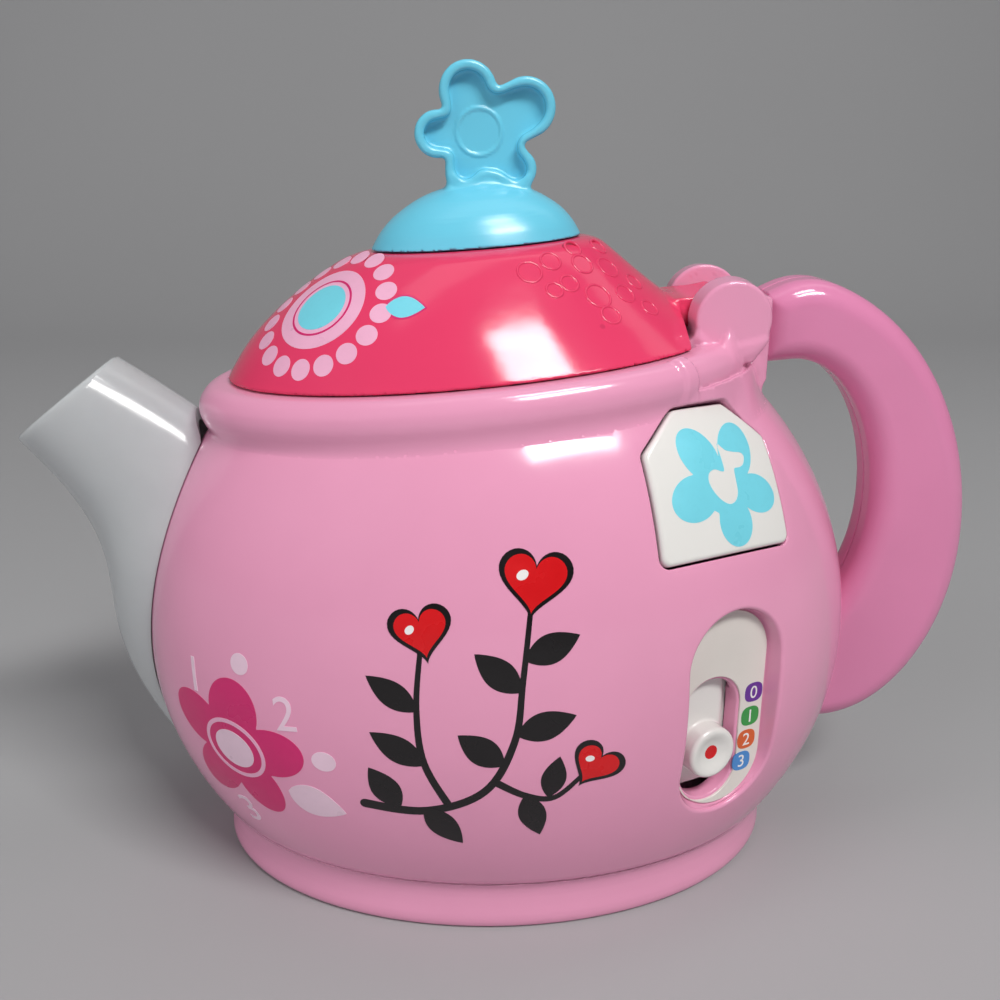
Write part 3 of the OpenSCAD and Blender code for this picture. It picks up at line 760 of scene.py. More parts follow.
def shell(name, side, holes, node):
    """One half of the pot: outer and inner surface, every opening with its rounded edge and its walls."""
    S = 70.0
    off = lambda z, g: g / (K * float(pot_r(z)))
    z0 = 13.35
    t0, t1 = (math.pi, 2 * math.pi) if side < 0 else (0, math.pi)

    def ctop(th):
        z = 113.5
        for _ in range(8):
            z = crease_z(float(pot_r(z)) * math.cos(th)) + .15
        return z
    # border, counter-clockwise in (theta, z)
    B = []
    nb = 110
    for i in range(nb):
        t = t0 + (t1 - t0) * i / nb
        B.append((min(max(t, t0 + off(z0, .45)), t1 - off(z0, .45)), z0))
    zt = ctop(t1)
    for i in range(56):
        z = z0 + (zt - z0) * i / 56
        B.append((t1 - off(z, .45), z))
    for i in range(nb):
        t = t1 + (t0 - t1) * i / nb
        z = ctop(t)
        B.append((min(max(t, t0 + off(z, .45)), t1 - off(z, .45)), z))
    zt = ctop(t0)
    for i in range(56):
        z = zt + (z0 - zt) * i / 56
        B.append((t0 + off(z, .45), z))
    B = np.array(B)
    # drop doubled corner points
    keepb = np.linalg.norm((B - np.roll(B, 1, 0)) * [S, 1], axis=1) > .15
    B = B[keepb]
    loops = [B * [S, 1]]
    for hh in holes:
        th = to_param(hh["rings"][0])
        th = np.where(th < t0 - .3, th + 2 * math.pi, th)
        L = np.stack([th * S, hh["rings"][0][:, 2]], 1)
        loops.append(L)
    P, F = tri2d(loops, 2.1)
    th, z = P[:, 0] / S, P[:, 1]
    r = pot_r(z)
    X = np.stack([r * np.cos(th), K * r * np.sin(th), z], 1)
    # loop points exactly where the rings are
    s = len(B)
    for hh in holes:
        X[s:s + len(hh["rings"][0])] = hh["rings"][0]
        s += len(hh["rings"][0])
    N = unit(grad(pot_f, X))
    n = len(X)
    V = [X, X - WALL * N]
    # orientation: make outer faces point outwards
    q = F[0]
    nn = np.cross(X[q[1]] - X[q[0]], X[q[2]] - X[q[0]])
    if nn @ N[q[0]] < 0:
        F = F[:, ::-1]
    faces = [tuple(int(i) for i in f) for f in F] + [tuple(int(i) + n for i in f[::-1]) for f in F]
    tot = 2 * n
    # outer border with a small step-down that shows as the parting line
    nbp = len(B)
    idx = np.arange(nbp)
    T = unit(np.roll(X[:nbp], -1, 0) - np.roll(X[:nbp], 1, 0))
    O = unit(np.cross(T, N[:nbp]))
    cen = X[:nbp].mean(0)
    if np.sum(O[nb // 2] * (X[nb // 2] - cen)) < 0:
        O = -O
    E = X[:nbp] + O * .33 - N[:nbp] * .16
    V.append(E); ring1 = np.arange(tot, tot + nbp); tot += nbp
    E2 = X[:nbp] + O * .33 - N[:nbp] * WALL
    V.append(E2); ring2 = np.arange(tot, tot + nbp); tot += nbp
    ft = strip(list(idx), list(ring1)) + strip(list(ring1), list(ring2)) + strip(list(ring2), list(idx + n))
    faces += ft
    s = nbp
    for hh in holes:
        m = len(hh["rings"][0])
        cur = list(range(s, s + m))
        for R in hh["rings"][1:]:
            V.append(R); nx = list(range(tot, tot + m)); tot += m
            faces += strip(cur, nx); cur = nx
        faces += strip(cur, list(range(s + n, s + n + m)))
        s += m
    V = np.vstack(V)
    # consistent winding
    me = bpy.data.meshes.new(name)
    me.from_pydata((V * .001).tolist(), [], [tuple(int(i) for i in f) for f in faces])
    bm = bmesh.new(); bm.from_mesh(me)
    bmesh.ops.recalc_face_normals(bm, faces=bm.faces)
    bm.to_mesh(me); bm.free()
    me.shade_smooth(); me.set_sharp_from_angle(angle=math.radians(38))
    o = bpy.data.objects.new(name, me); scene.collection.objects.link(o)
    me.materials.append(pink)
    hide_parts(node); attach(o, "pot")
    return o


holes_f = []
P, N = rounded(TAG_C, 2.5)
R = lip(TAG, P, N, .55)
holes_f.append({"rings": R + [R[-1] - TAG[3] * 1.0]})
# slide switch recess
RC = [(2.2, -15.4), (2.2, 8.6)]
FLOOR = -5.8
P, N = rounded(RC, 12.5, arc=14, straight=1.5)
R = lip(SLD, P, N, 1.0, 6)
# floor with a concave fillet
for j in range(4):
    a = math.pi / 2 * j / 3
    R.append(loc(SLD, P - N * (.6 + .5 * (1 - math.cos(a))), FLOOR + .5 * (1 - math.sin(a))))
SLOT_U, REST_V = -.65, -12.95
SLOT = [(SLOT_U, REST_V - 4.5), (SLOT_U, REST_V + 9.9)]
PS, NS = rounded(SLOT, 7.2, arc=14, straight=1.5)
nP = len(P)


def resample(Q, n):
    """The same outline with n points, evenly by index."""
    t = np.linspace(0, len(Q), n, endpoint=False)
    i = t.astype(int); w = (t - i)[:, None]
    return Q[i % len(Q)] * (1 - w) + Q[(i + 1) % len(Q)] * w


PS2, NS2 = resample(PS, nP), unit(resample(NS, nP))
for j in range(4):
    a = math.pi / 2 * j / 3
    R.append(loc(SLD, PS2 + NS2 * .4 * (1 - math.sin(a)), FLOOR - .4 * (1 - math.cos(a))))
# the wall runs deeper than the floor's back, except above the slot, where the knob's tail passes
DEEP = np.where((PS2[:, 1] > REST_V + 9.9) & (np.abs(PS2[:, 0] - SLOT_U) < 6.9), -7.8, -9.6)
R.append(loc(SLD, PS2, DEEP))
R.append(loc(SLD, P + N * .6, DEEP))
holes_f.append({"rings": R})
front = shell("front_shell_body", -1, holes_f, "front_shell")

holes_r = []
for bx, bz in [(-62, 40), (-66, 86), (62, 36), (62, 90)]:
    fr = (pot_at(bx, bz, 1), np.array([-1., 0, 0]), np.array([0, 0, 1.]), np.array([0, 1., 0]))
    a = np.linspace(0, 2 * math.pi, 36, endpoint=False)
    Nn = np.stack([np.cos(a), np.sin(a)], 1)
    Rr = lip(fr, Nn * 3.3, Nn, .5, 3)
    def ring_y(rad, y):
        q = loc(fr, Nn * rad, 0); q[:, 1] = y
        return q
    Rr += [ring_y(3.3, 11.0), ring_y(1.75, 11.0), ring_y(1.75, .3), ring_y(3.75, .3)]
    holes_r.append({"rings": Rr})
for i in range(3):
    for j in range(max(1, 6 * i)):
        t = math.radians(60 * j / max(1, i))
        bx, bz = 5 * i * math.cos(t), 58 + 5 * i * math.sin(t)
        fr = (pot_at(bx, bz, 1), np.array([-1., 0, 0]), np.array([0, 0, 1.]), np.array([0, 1., 0]))
        a = np.linspace(0, 2 * math.pi, 20, endpoint=False)
        Nn = np.stack([np.cos(a), np.sin(a)], 1)
        Rr = lip(fr, Nn * 1.4, Nn, .3, 3)
        holes_r.append({"rings": Rr + [Rr[-1] - fr[3] * 1.2]})
rear = shell("rear_shell_body", 1, holes_r, "rear_shell")


# ======================================================================
# Smooth 2D distance tables for moulded sections
# ======================================================================
def table(poly, blur=.2, cell=.1, pad=5.0):
    Pp = np.array(poly, float)
    lo, hi = Pp.min(0) - pad, Pp.max(0) + pad
    nx, ny = np.ceil((hi - lo) / cell).astype(int) + 1
    X, Y = np.meshgrid(lo[0] + np.arange(nx) * cell, lo[1] + np.arange(ny) * cell, indexing="ij")
    D = sd_poly(X, Y, Pp)
    if blur:
        m = int(math.ceil(2.6 * blur / cell))
        w = np.exp(-.5 * (np.arange(-m, m + 1) * cell / blur) ** 2); w /= w.sum()
        for ax in (0, 1):
            pd = [(0, 0), (0, 0)]; pd[ax] = (m, m)
            E = np.pad(D, pd, mode="edge"); acc = np.zeros_like(D)
            for i, q in enumerate(w):
                acc += q * (E[i:i + nx] if ax == 0 else E[:, i:i + ny])
            D = acc

    def f(x, y):
        u, v = (x - lo[0]) / cell, (y - lo[1]) / cell
        uc, vc = np.clip(u, 1, nx - 3.001), np.clip(v, 1, ny - 3.001)
        i, j = uc.astype(int), vc.astype(int)
        s, t = uc - i, vc - j
        ws = ((1 - s) ** 3 / 6, (3 * s ** 3 - 6 * s * s + 4) / 6, (-3 * s ** 3 + 3 * s * s + 3 * s + 1) / 6, s ** 3 / 6)
        wt = ((1 - t) ** 3 / 6, (3 * t ** 3 - 6 * t * t + 4) / 6, (-3 * t ** 3 + 3 * t * t + 3 * t + 1) / 6, t ** 3 / 6)
        out = np.hypot(u - uc, v - vc) * cell
        for a in range(4):
            r = 0
            for b in range(4):
                r = r + wt[b] * D[i - 1 + a, j - 1 + b]
            out = out + ws[a] * r
        return out
    return f


def mirrored(prof):
    """A profile that ends on the axis, together with its mirror image."""
    return [tuple(q) for q in prof] + [(-r, h) for r, h in reversed(prof) if r > 1e-9]


def oval_co(p, xc, z0, tilt_t, k=K):
    dx, y = p[..., 0] - xc, p[..., 1] / k
    rho = np.sqrt(dx * dx + y * y) + 1e-9
    g = np.sqrt((dx / rho) ** 2 + (y / rho / k) ** 2)
    return rho, p[..., 2] - z0 - tilt_t * dx, g


def local(fr, p):
    q = p - fr[0]
    return q @ fr[1], q @ fr[2], q @ fr[3]


# ======================================================================
# Rim collar: soft bead, hinge knuckles on blended necks, small rib
# ======================================================================
RIM_OUT = smooth_line([(61.5, -9.95), (62.1, -9.75), (62.5, -9.4), (62.85, -8.9), (63.2, -8.2), (63.5, -7.3), (63.7, -6.7), (63.85, -5.6),
                       (63.75, -4.5), (63.45, -3.5), (62.9, -2.6), (62.2, -1.75), (61.4, -1.1), (60.4, -.65), (59.3, -.4), (57.5, -.3)], 2)
T_RIM = table([tuple(q) for q in RIM_OUT] + [(54, -.3), (53.4, -.8), (53.4, -2.6), (57.8, -2.6), (57.8, -14), (58.6, -14), (58.6, -9.9)], .16)
T_NECK = table([(38, 127.6), (41.5, 130), (46, 126), (57.5, 129), (54.6, 124), (50, 123.5)], .3)
T_BLOCK = table([(50, 124), (50, 127.5), (57.4, 129.5), (57.6, 136.6), (58.3, 137.6), (59.4, 137.7), (60.4, 136.9), (60.4, 118.4), (59.2, 117.7), (58.4, 119.9), (56.8, 121.5)], .25)
T_TAG = table([tuple(q) for q in rounded(TAG_C, 2, 8, 1.6)[0]], .1)


def step01(x, a, b):
    t = np.clip((x - a) / (b - a), 0, 1)
    return t * t * (3 - 2 * t)


def f_rim(p):
    rho, h, g = oval_co(p, LX, LZ, SL)
    x = p[..., 0]
    th = np.arctan2(p[..., 1] / K, x - LX)
    tha = np.degrees(np.abs(th))
    ring = T_RIM(rho, h + 3.0 * step01(x, 48.5, 54)) / g
    s = np.abs((th - math.radians(-47.2)) * 55.5)
    ring = ring - .75 * (1 - step01(s, 1.1, 2.5)) * step01(rho, 58.2, 60.2)
    # the bead runs into the pot with a soft crease, and flows into it beside the hinge
    R_ = 2.0 + 6.4 * step01(-tha, -50, -41)
    fil = smin(ring, pot_f(p) + .05, R_)
    fil = np.maximum(np.maximum(fil, -(pot_f(p) + .7)), np.maximum(ring - R_ - 1.2, h + 6.8))
    ring = np.minimum(ring, fil)
    ya = np.abs(p[..., 1])
    q = p.copy(); q[..., 1] = ya
    kn = cyl_y(q, HX, HZ, 9.0 - .5 * np.clip((ya - 10.5) / 7, 0, 1), 10.5, 17.5, .7)
    nk = extr(T_NECK(x, p[..., 2]), ya, 10.5, 17.5, .5)
    f = smin(kn, nk, 2.0)
    w = step01(rho, 57.8, 60.8) * step01(-x, -54, -48)
    f = smin(f, ring, .35 + 3.6 * w)
    bl = extr(T_BLOCK(x, p[..., 2]), p[..., 1], -10.6, 10.6, 1.5)
    f = smin(f, bl, 1.2 + 1.8 * step01(ya, 8, 10.6))
    f = np.minimum(f, box(p, (59.6, -5.6, 124.8), (68, 5.6, 134.2), .4))
    cut = np.minimum(cyl_y(p, HX, HZ, 6.9, -10.4, 10.4, 0), box(p, (30, -10.4, 127), (50, 10.4, 139)))
    cut = np.minimum(cut, cyl_y(p, HX, HZ, 2.06, -14.5, 19))
    cut = np.minimum(cut, cyl_z(p, LX - 55.3, 0, 1.7, 100, 130))
    for a in (35, 145, 215, 325):
        a = math.radians(a)
        z = LZ + SL * 55 * math.cos(a)
        cut = np.minimum(cut, cyl_z(p, LX + 55 * math.cos(a), K * 55 * math.sin(a), 1.5, z - 4, z - 1.2))
    u, v, n = local(TAG, p)
    room = np.maximum(box(np.stack([u, v, n], -1), (-20, -20, -14), (20, 19.2, 2), .3), pot_f(p) + 1.5)
    cut = np.minimum(cut, np.minimum(room, np.maximum(T_TAG(u, v) - .5, np.abs(n) - 9)))
    return smax(f, -cut, .3)


sdf_mesh("rim_collar_body", f_rim, (-72, -47, 100), (71, 47, 144), .62, pink, reps=("rim_collar",), slot="pink_plastic")

# ======================================================================
# Lid with its hinge arm and barrel
# ======================================================================
T_ARM = table([(49.7, 138.1), (37.4, 136.9), (38.5, 134.2), (42, 130.4), (49.7, 128.6)], .3)


def f_lid(p):
    h = lid_h(p); d = lid_f(p)
    out = smax(smax(d, h - 24.7, 2.0), -h, .7)
    inn = smax(d + 2.2, h - 22.4, .8)
    f = smax(out, -inn, .4)
    f = smin(f, cyl_z(p, LX, 0, 4.0, 138, 147.6, .4), .8)
    arm = extr(T_ARM(p[..., 0], p[..., 2]), p[..., 1], -10.1, 10.1, .6)
    bar = cyl_y(p, HX, HZ, 4.9, -10.1, 10.1, .6)
    f = smin(f, smin(arm, bar, 1.0), 1.4)
    q = p.copy(); q[..., 1] = np.abs(q[..., 1])
    cut = np.minimum(cyl_y(q, HX, HZ, 9.9, 10.1, 18.3, 0), box(q, (39.3, 10.1, 118), (61, 33, 137.4)))
    f = smax(f, -cut, .55)
    cut = np.minimum(cyl_y(p, HX, HZ, 2.08, -12, 12), cyl_z(p, LX, 0, 1.7, 130, 160))
    cut = np.minimum(cut, cyl_z(p, LX, 0, 3.2, 130, 141))
    return smax(f, -cut, .2)


sdf_mesh("lid_body", f_lid, (-66, -42, 116), (61, 42, 152), .62, hot, body="lid", reps=("lid",), slot="lid_plastic")

# ======================================================================
# Lid knob: oval dome with an upright flower dish
# ======================================================================
KT = math.tan(math.radians(4.6))
T_DOME = table(mirrored(list(map(tuple, smooth_line([(23.7, .1), (23, 1.4), (21.5, 3.8), (18.8, 6.7), (14.4, 9.7), (10, 11.6), (5, 12.8), (.6, 13.2)], 3)))), .15)
T_DOMEI = table(mirrored([(21.4, -2), (20.8, 1.3), (19.2, 3.4), (16.6, 5.9), (12.6, 8.4), (8, 10), (.1, 10.9)]), .2)
FC = (-5.7, 172.0)
PETALS = [(-2.5, 8.5, 6.2), (10.1, 5.1, 6.4), (5.6, 2.9, 6.6), (-9.1, -.5, 5), (-3.1, -7.7, 4.3), (8.2, -7.7, 4.4), (4.4, -4.2, 5.4)]


def petals2(x, z):
    dx, dz = x - FC[0], z - FC[1]
    d = np.hypot(dx, dz) - 9
    for a, b, r in PETALS:
        d = smin(d, np.hypot(dx - a, dz - b) - r, 1.3)
    return d


def f_knob(p):
    rho, h, g = oval_co(p, LX, 148.3, KT)
    dome = smax(T_DOME(rho, h) / g, .1 - h, .25)
    f = smax(dome, -T_DOMEI(rho, h) / g, .3)
    f = np.minimum(f, cyl_z(p, LX, 0, 3.8, 148.8, 159.4, .3))
    d2 = petals2(p[..., 0], p[..., 2]); y = p[..., 1]
    fl = extr(d2, y, -4, 4, .95)
    fl = smin(fl, box(p, (-12.8, -4, 156.8), (5.6, 4, 163.5), 1.0), .8)
    fl = smin(f, fl, 1.1)
    pock = extr(d2 + 2.1, y, -14, -1.1, .7)
    fl = smax(fl, -pock, .9)
    rr = np.hypot(p[..., 0] - FC[0], p[..., 2] - FC[1])
    fl = smin(fl, np.hypot(rr - 4.9, y + 1.1) - .3, .5)
    return smax(fl, -cyl_z(p, LX, 0, 1.55, 148, 156), .2)


sdf_mesh("lid_knob_body", f_knob, (-31, -18, 145.5), (19, 18, 188.5), .5, blue, body="lid", reps=("lid_knob",), slot="knob_plastic")

# ======================================================================
# Handle halves
# ======================================================================
def h_out(t):
    if t < 0:
        return (59.5, 137.3)
    a = math.pi * t
    x = 62 + 52.6 * math.sin(a)
    return (x, 76 + 66.2 * math.cos(a) - .0189 * max(0, 76 - x) ** 2) if t < .5 else (82 + 32.6 * math.sin(a), 76 + 47.6 * math.cos(a))


def h_in(t):
    if t < 0:
        return (59.5, 121.4)
    a = math.pi * t
    if t < .5:
        return (68.5 + 21.9 * math.sin(a), 86 + 36.2 * math.cos(a))
    b = math.radians(153 * t + 13.5)
    return (62 + 28.4 * math.sin(b), 86 + 38.1 * math.cos(b))


tt = [-.1] + list(np.linspace(0, 23 / 22, 64))
T_HAN = table([h_out(t) for t in tt] + [h_in(t) for t in reversed(tt)], .5, .3, 8)
HS = [(102.6, 76), (84, 126), (96, 46)]


def f_handle(side):
    def f(p):
        d2 = T_HAN(p[..., 0], p[..., 2]); y = p[..., 1]
        o = extr(d2, y, -9, 9, 5.5)
        i = extr(d2 + 2.2, y, -6.8, 6.8, 3.3)
        r = smax(o, -i, .3)
        sw = extr(d2 + 1, y, -8, 8, 4.5)
        inner = box(p, (84.6, -8.6, 38), (87, 8.6, 62))
        for x, z in HS:
            inner = np.minimum(inner, cyl_y(p, x, z, 4.0, -9, 9))
        r = smin(r, np.maximum(inner, sw), .5)
        r = smin(r, box(p, (78, -5.9, 38.1), (87, 5.9, 53.9), .4), .3)
        pc = np.maximum(pot_f(p) - .25, -box(p, (60, -6, 38), (90, 6, 54)))
        r = smax(r, -pc, .3)
        r = np.maximum(r, -box(p, (40, -12, 100), (60.6, 12, 150)))
        r = smax(r, side * -y + .05, .22)
        cut = None
        for x, z in HS:
            c = cyl_y(p, x, z, 1.55, -7, 6.2)
            if side > 0:
                c = np.minimum(c, cyl_y(p, x, z, 2.9, 3.9, 12))
            cut = c if cut is None else np.minimum(cut, c)
        return smax(r, -cut, .25)
    return f


sdf_mesh("handle_front_body", f_handle(-1), (59, -10, 26), (118, 1, 144), .62, handle_pink_painted_shade, reps=("handle_front_half",), slot="pink_plastic")
sdf_mesh("handle_rear_body", f_handle(1), (59, -1, 26), (118, 10, 144), .62, handle_pink_painted_shade, reps=("handle_rear_half",), slot="pink_plastic")

# ======================================================================
# Foot and battery box
# ======================================================================
T_BAND = table([tuple(q) for q in smooth_line([(70.6, 12.9), (69.9, 12.2), (69.2, 11.3), (68.8, 10.2), (68.6, 8.6), (68.8, 6), (69.2, 3.6), (69.15, 2), (68.5, .7), (67.4, .1), (66.6, 0)], 2)]
               + [(64.8, 0), (64.8, 3), (63, 3), (63, 5.2), (65.6, 5.2), (65.6, 12.9)], .12)
POSTS = [(-50, -24), (-50, 24), (50, -24), (50, 24)]


def f_base(p):
    rho, h, g = oval_co(p, 0, 0, 0)
    x, y, z = p[..., 0], p[..., 1], p[..., 2]
    f = np.minimum(T_BAND(rho, z) / g, extr((rho - 64.9) / g, z, 3, 5.2, .1))
    f = smin(f, box(p, (-33, -28, 3.2), (33, 28, 23.4), .8), .6)
    f = smin(f, box(p, (31, -8.2, 4), (40, 8.2, 8.4), .5), .4)
    f = smin(f, cyl_z(p, 35, 0, 3.8, 4, 15.2, .4), .4)
    q = np.abs(p)
    f = smin(f, cyl_z(q, 50, 24, 4.0, 4, 12.6, .3), .5)
    cut = box(p, (-29.5, -24.5, -2), (29.5, 24.5, 21.4), .5)
    cut = np.minimum(cut, box(p, (-31, -26, -2), (31, 26, 5.4), .3))
    cut = np.minimum(cut, box(p, (30, -6.2, -2), (38.4, 6.2, 5.4), .3))
    cut = np.minimum(cut, cyl_z(p, 35, 0, 1.55, 4, 14))
    cut = np.minimum(cut, cyl_z(q, 50, 24, 1.7, -2, 20))
    cut = np.minimum(cut, cyl_z(q, 50, 24, 3.2, -2, 8))
    return smax(f, -cut, .3)


sdf_mesh("base_body", f_base, (-74, -52, -1.5), (74, 52, 25), .66, pink, reps=("base",), slot="pink_plastic")


def f_door(p):
    f = np.minimum(box(p, (-30.8, -25.8, 3.2), (30.8, 25.8, 5.2), .35), box(p, (29, -6, 3.2), (38.2, 6, 5.2), .35))
    cut = np.minimum(cyl_z(p, 35, 0, 1.7, 0, 10), cyl_z(p, 35, 0, 3.0, 2, 4.2))
    for i in range(-3, 4):
        cut = np.minimum(cut, box(p, (-27, i * 2.2 - .5, 2), (-20, i * 2.2 + .5, 3.7), .15))
    return smax(f, -cut, .2)


sdf_mesh("battery_door_body", f_door, (-32.5, -27.5, 2), (40, 27.5, 6.5), .42, pink, reps=("battery_door",), slot="pink_plastic")

# ======================================================================
# Inner bowl
# ======================================================================
T_BOWL = table([(0, -34), (30, -33), (44, -29), (50.4, -20), (51.6, -4.8), (57.6, -4.8), (57.6, -2.9), (49.4, -2.9), (48.3, -19.3), (42.6, -27.4), (29.6, -31.2), (0, -32),
                (-29.6, -31.2), (-30, -33)], .35, .2)


def f_bowl(p):
    rho, h, g = oval_co(p, LX, LZ, SL)
    f = T_BOWL(rho, h) / g
    for a in (35, 145, 215, 325):
        a = math.radians(a)
        z = LZ + SL * 55 * math.cos(a)
        f = np.minimum(f, np.maximum(cyl_z(p, LX + 55 * math.cos(a), K * 55 * math.sin(a), 3.2, z - 9.2, z - 3.2, .3), (rho - 57.6) / g))
    f = smin(f, np.maximum(cyl_z(p, -32, 0, 3.2, 81.7, 92, .3), h + 31.5), .5)
    f = smin(f, np.maximum(cyl_z(p, 20, 0, 3.2, 81.7, 96, .3), h + 31.5), .5)
    cut = cyl_y(p, HX, HZ, 9.6, -10.4, 10.4)
    cut = np.minimum(cut, cyl_z(p, LX - 55.3, 0, 1.7, 80, 130))
    for a in (35, 145, 215, 325):
        a = math.radians(a)
        z = LZ + SL * 55 * math.cos(a)
        cut = np.minimum(cut, cyl_z(p, LX + 55 * math.cos(a), K * 55 * math.sin(a), 1.55, z - 30, z + 5))
    for x in (-32, 20):
        cut = np.minimum(cut, cyl_z(p, x, 0, 1.55, 80, 87.4))
    q = p.copy(); q[..., 1] = np.abs(q[..., 1])
    cut = np.minimum(cut, box(q, (43.4, 10.2, 122), (57.4, 18, 130)))
    return smax(f, -cut, .2)


sdf_mesh("inner_bowl_body", f_bowl, (-66, -42, 80), (54, 42, 128), .8, pink, reps=("inner_bowl",), slot="pink_plastic")

# ======================================================================
# Tag button
# ======================================================================
def f_tag(p):
    u, v, n = local(TAG, p)
    d = pot_f(p)
    f = smax(smax(T_TAG(u, v), d - .6, .8), -(d + 1.6), .3)
    return smin(f, extr(np.hypot(u, v) - 3, n, -6.6, -1, .3), .5)


tc = TAG[0]
sdf_mesh("tag_button_body", f_tag, tc - [22, 16, 21], tc + [22, 14, 20], .45, white, body="tag_button", reps=("tag_button",), slot="white_plastic")

# ======================================================================
# Slide switch: label plate and knob
# ======================================================================
def plate(name, loops, fr, d0, d1, bev, mat, **kw):
    """Thin moulded or card plate in a local frame; loops[0] is the outline, the others are openings."""
    P, F = tri2d(loops, 2.0)
    ins = []
    for k_, L in enumerate(loops):
        T = unit(np.roll(L, -1, 0) - np.roll(L, 1, 0)); M = np.stack([T[:, 1], -T[:, 0]], 1)
        ar = np.sum(L[:, 0] * np.roll(L[:, 1], -1) - L[:, 1] * np.roll(L[:, 0], -1))
        ins.append(M * np.sign(ar) * (1 if k_ == 0 else -1))
    M = np.vstack(ins); m = len(M)
    Pt = P.copy(); Pt[:m] -= M * bev
    V = [loc(fr, Pt, d1), loc(fr, P[:m], d1 - bev), loc(fr, P, d0)]
    n0 = len(P)
    F1 = [tuple(f) for f in F] + [tuple(int(i) + n0 + m for i in f[::-1]) for f in F]
    s = 0
    for L in loops:
        k_ = len(L)
        a = list(range(s, s + k_)); b = [n0 + i for i in a]; c_ = [n0 + m + i for i in a]
        F1 += strip(a, b) + strip(b, c_); s += k_
    V = np.vstack(V)
    me = bpy.data.meshes.new(name); me.from_pydata((V * .001).tolist(), [], [tuple(int(i) for i in f) for f in F1])
    bm = bmesh.new(); bm.from_mesh(me); bmesh.ops.recalc_face_normals(bm, faces=bm.faces); bm.to_mesh(me); bm.free()
    me.shade_smooth(); me.set_sharp_from_angle(angle=math.radians(35))
    o = bpy.data.objects.new(name, me); scene.collection.objects.link(o); me.materials.append(mat)
    if kw.get("reps"):
        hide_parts(*kw["reps"])
    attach(o, kw.get("body", "pot"))
    return o


lab = rounded(RC, 11.3, 16, 1.5)[0]
slo = rounded(SLOT, 7.9, 14, 1.5)[0][::-1]
plate("switch_label_plate", [lab, slo], SLD, FLOOR, FLOOR + .5, .12, label_m, reps=("switch_label",), slot="white_plastic")


def f_slide(p):
    u, v, n = local(SLD, p)
    u = u - SLOT_U; v = v - REST_V
    r = np.hypot(u, v)
    f = extr(r - 6, n, -11, -3.6, 1.0)
    dish = np.sqrt(r * r + (n - 4.65) ** 2) - 9.35
    f = smax(f, -dish, .35)
    bu, bn = np.abs(u) - 3.8, n + 10.6
    bar = np.hypot(np.maximum(bu, 0), np.maximum(bn, 0)) + np.minimum(np.maximum(bu, bn), 0) - 2.5
    bar = np.maximum(bar, -10.5 - n)
    bar = smax(bar, np.abs(v - 9.5) - 11.5, .8)
    f = smin(f, bar, .6)
    f = smin(f, box(np.stack([u, v, n], -1), (-7.5, -10, -11.5), (7.5, 22, -9.9), .3), .2)
    return np.minimum(f, extr(r - 1.5, n, -15.5, -10.5, .2))


sc_ = SLD[0]
sdf_mesh("slider_knob_body", f_slide, sc_ + [-17, -12, -26], sc_ + [13, 21, 13], .4, white, body="slider", reps=("slider_knob",), slot="white_plastic")

# ======================================================================
# Spout
# ======================================================================
def bez(p, t):
    p = np.array(p, float); t = np.asarray(t)[..., None]
    return (1 - t) ** 3 * p[0] + 3 * t * (1 - t) ** 2 * p[1] + 3 * t * t * (1 - t) * p[2] + t ** 3 * p[3]


S_UP = [(-89, 122.5), (-79.9, 117), (-68, 108), (-55, 98)]
S_DN = [(-112.1, 104), (-79.4, 68.4), (-107.3, 66.5), (-81.1, 26)]


def spout_pt(t, q, g):
    U, D = bez(S_UP, t), bez(S_DN, t)
    m, d = (U + D) / 2, U - D
    L = np.linalg.norm(d, axis=-1, keepdims=True); e = d / L
    a = L[..., 0] / 2 - g; b = 12.3 + 5 * np.asarray(t) - g
    return np.stack([m[..., 0] + e[..., 0] * a * np.cos(q), b * np.sin(q), m[..., 1] + e[..., 1] * a * np.cos(q)], -1)


T_RC = table(mirrored([(63.6, -14), (64.8, -8.6), (65.2, -5.6), (63.4, -1.2), (.05, -1)][:4]) , .1, .1)


def spout_cut(p):
    rho, h, g = oval_co(p, LX, LZ, SL)
    return np.minimum(pot_f(p) - .25, T_RC(rho, h) / g)


def spout_ends(q, g, t0=.02):
    t = np.full(q.shape, t0); done = np.zeros(q.shape, bool); st = .004
    for _ in range(int((1.0 - t0) / st)):
        d = spout_cut(spout_pt(t + st, q, g))
        done |= d < 0
        t = np.where(done, t, t + st)
    lo, hi = t, t + st
    for _ in range(14):
        m = (lo + hi) / 2
        ins = spout_cut(spout_pt(m, q, g)) < 0
        hi = np.where(ins, m, hi); lo = np.where(ins, lo, m)
    return lo


NQ, NR = 96, 70
qs = np.linspace(0, 2 * math.pi, NQ, endpoint=False)
rows = []
u0, d0 = np.array(S_UP[0]), np.array(S_DN[0])
e0 = (u0 - d0) / np.linalg.norm(u0 - d0)
ax0 = np.array([e0[1], 0, -e0[0]])
if ax0[0] < 0:
    ax0 = -ax0
ER = 1.1
z_ = np.zeros(NQ)
for g in (9.5, 6.0, 3.0):
    rows.append(spout_pt(z_, qs, g))
for k_ in range(6):
    a = math.pi / 2 * k_ / 6
    rows.append(spout_pt(z_, qs, ER * (1 - math.sin(a))) + ax0 * ER * (1 - math.cos(a)))
te = spout_ends(qs, 0)
t1 = .02
for j in range(NR + 1):
    s = j / NR
    rows.append(spout_pt(t1 + (te - t1) * s, qs, 0))
ti = spout_ends(qs, 2, .072)
for j in range(NR + 1):
    s = 1 - j / NR
    rows.append(spout_pt(.0714 + (ti - .0714) * s, qs, 2.0))
for g in (5.0, 8.0, 10.5):
    rows.append(spout_pt(z_ + .0714, qs, g))
V = np.vstack(rows); nR = len(rows)
F = []
for j in range(nR - 1):
    F += strip([j * NQ + i for i in range(NQ)], [(j + 1) * NQ + i for i in range(NQ)])
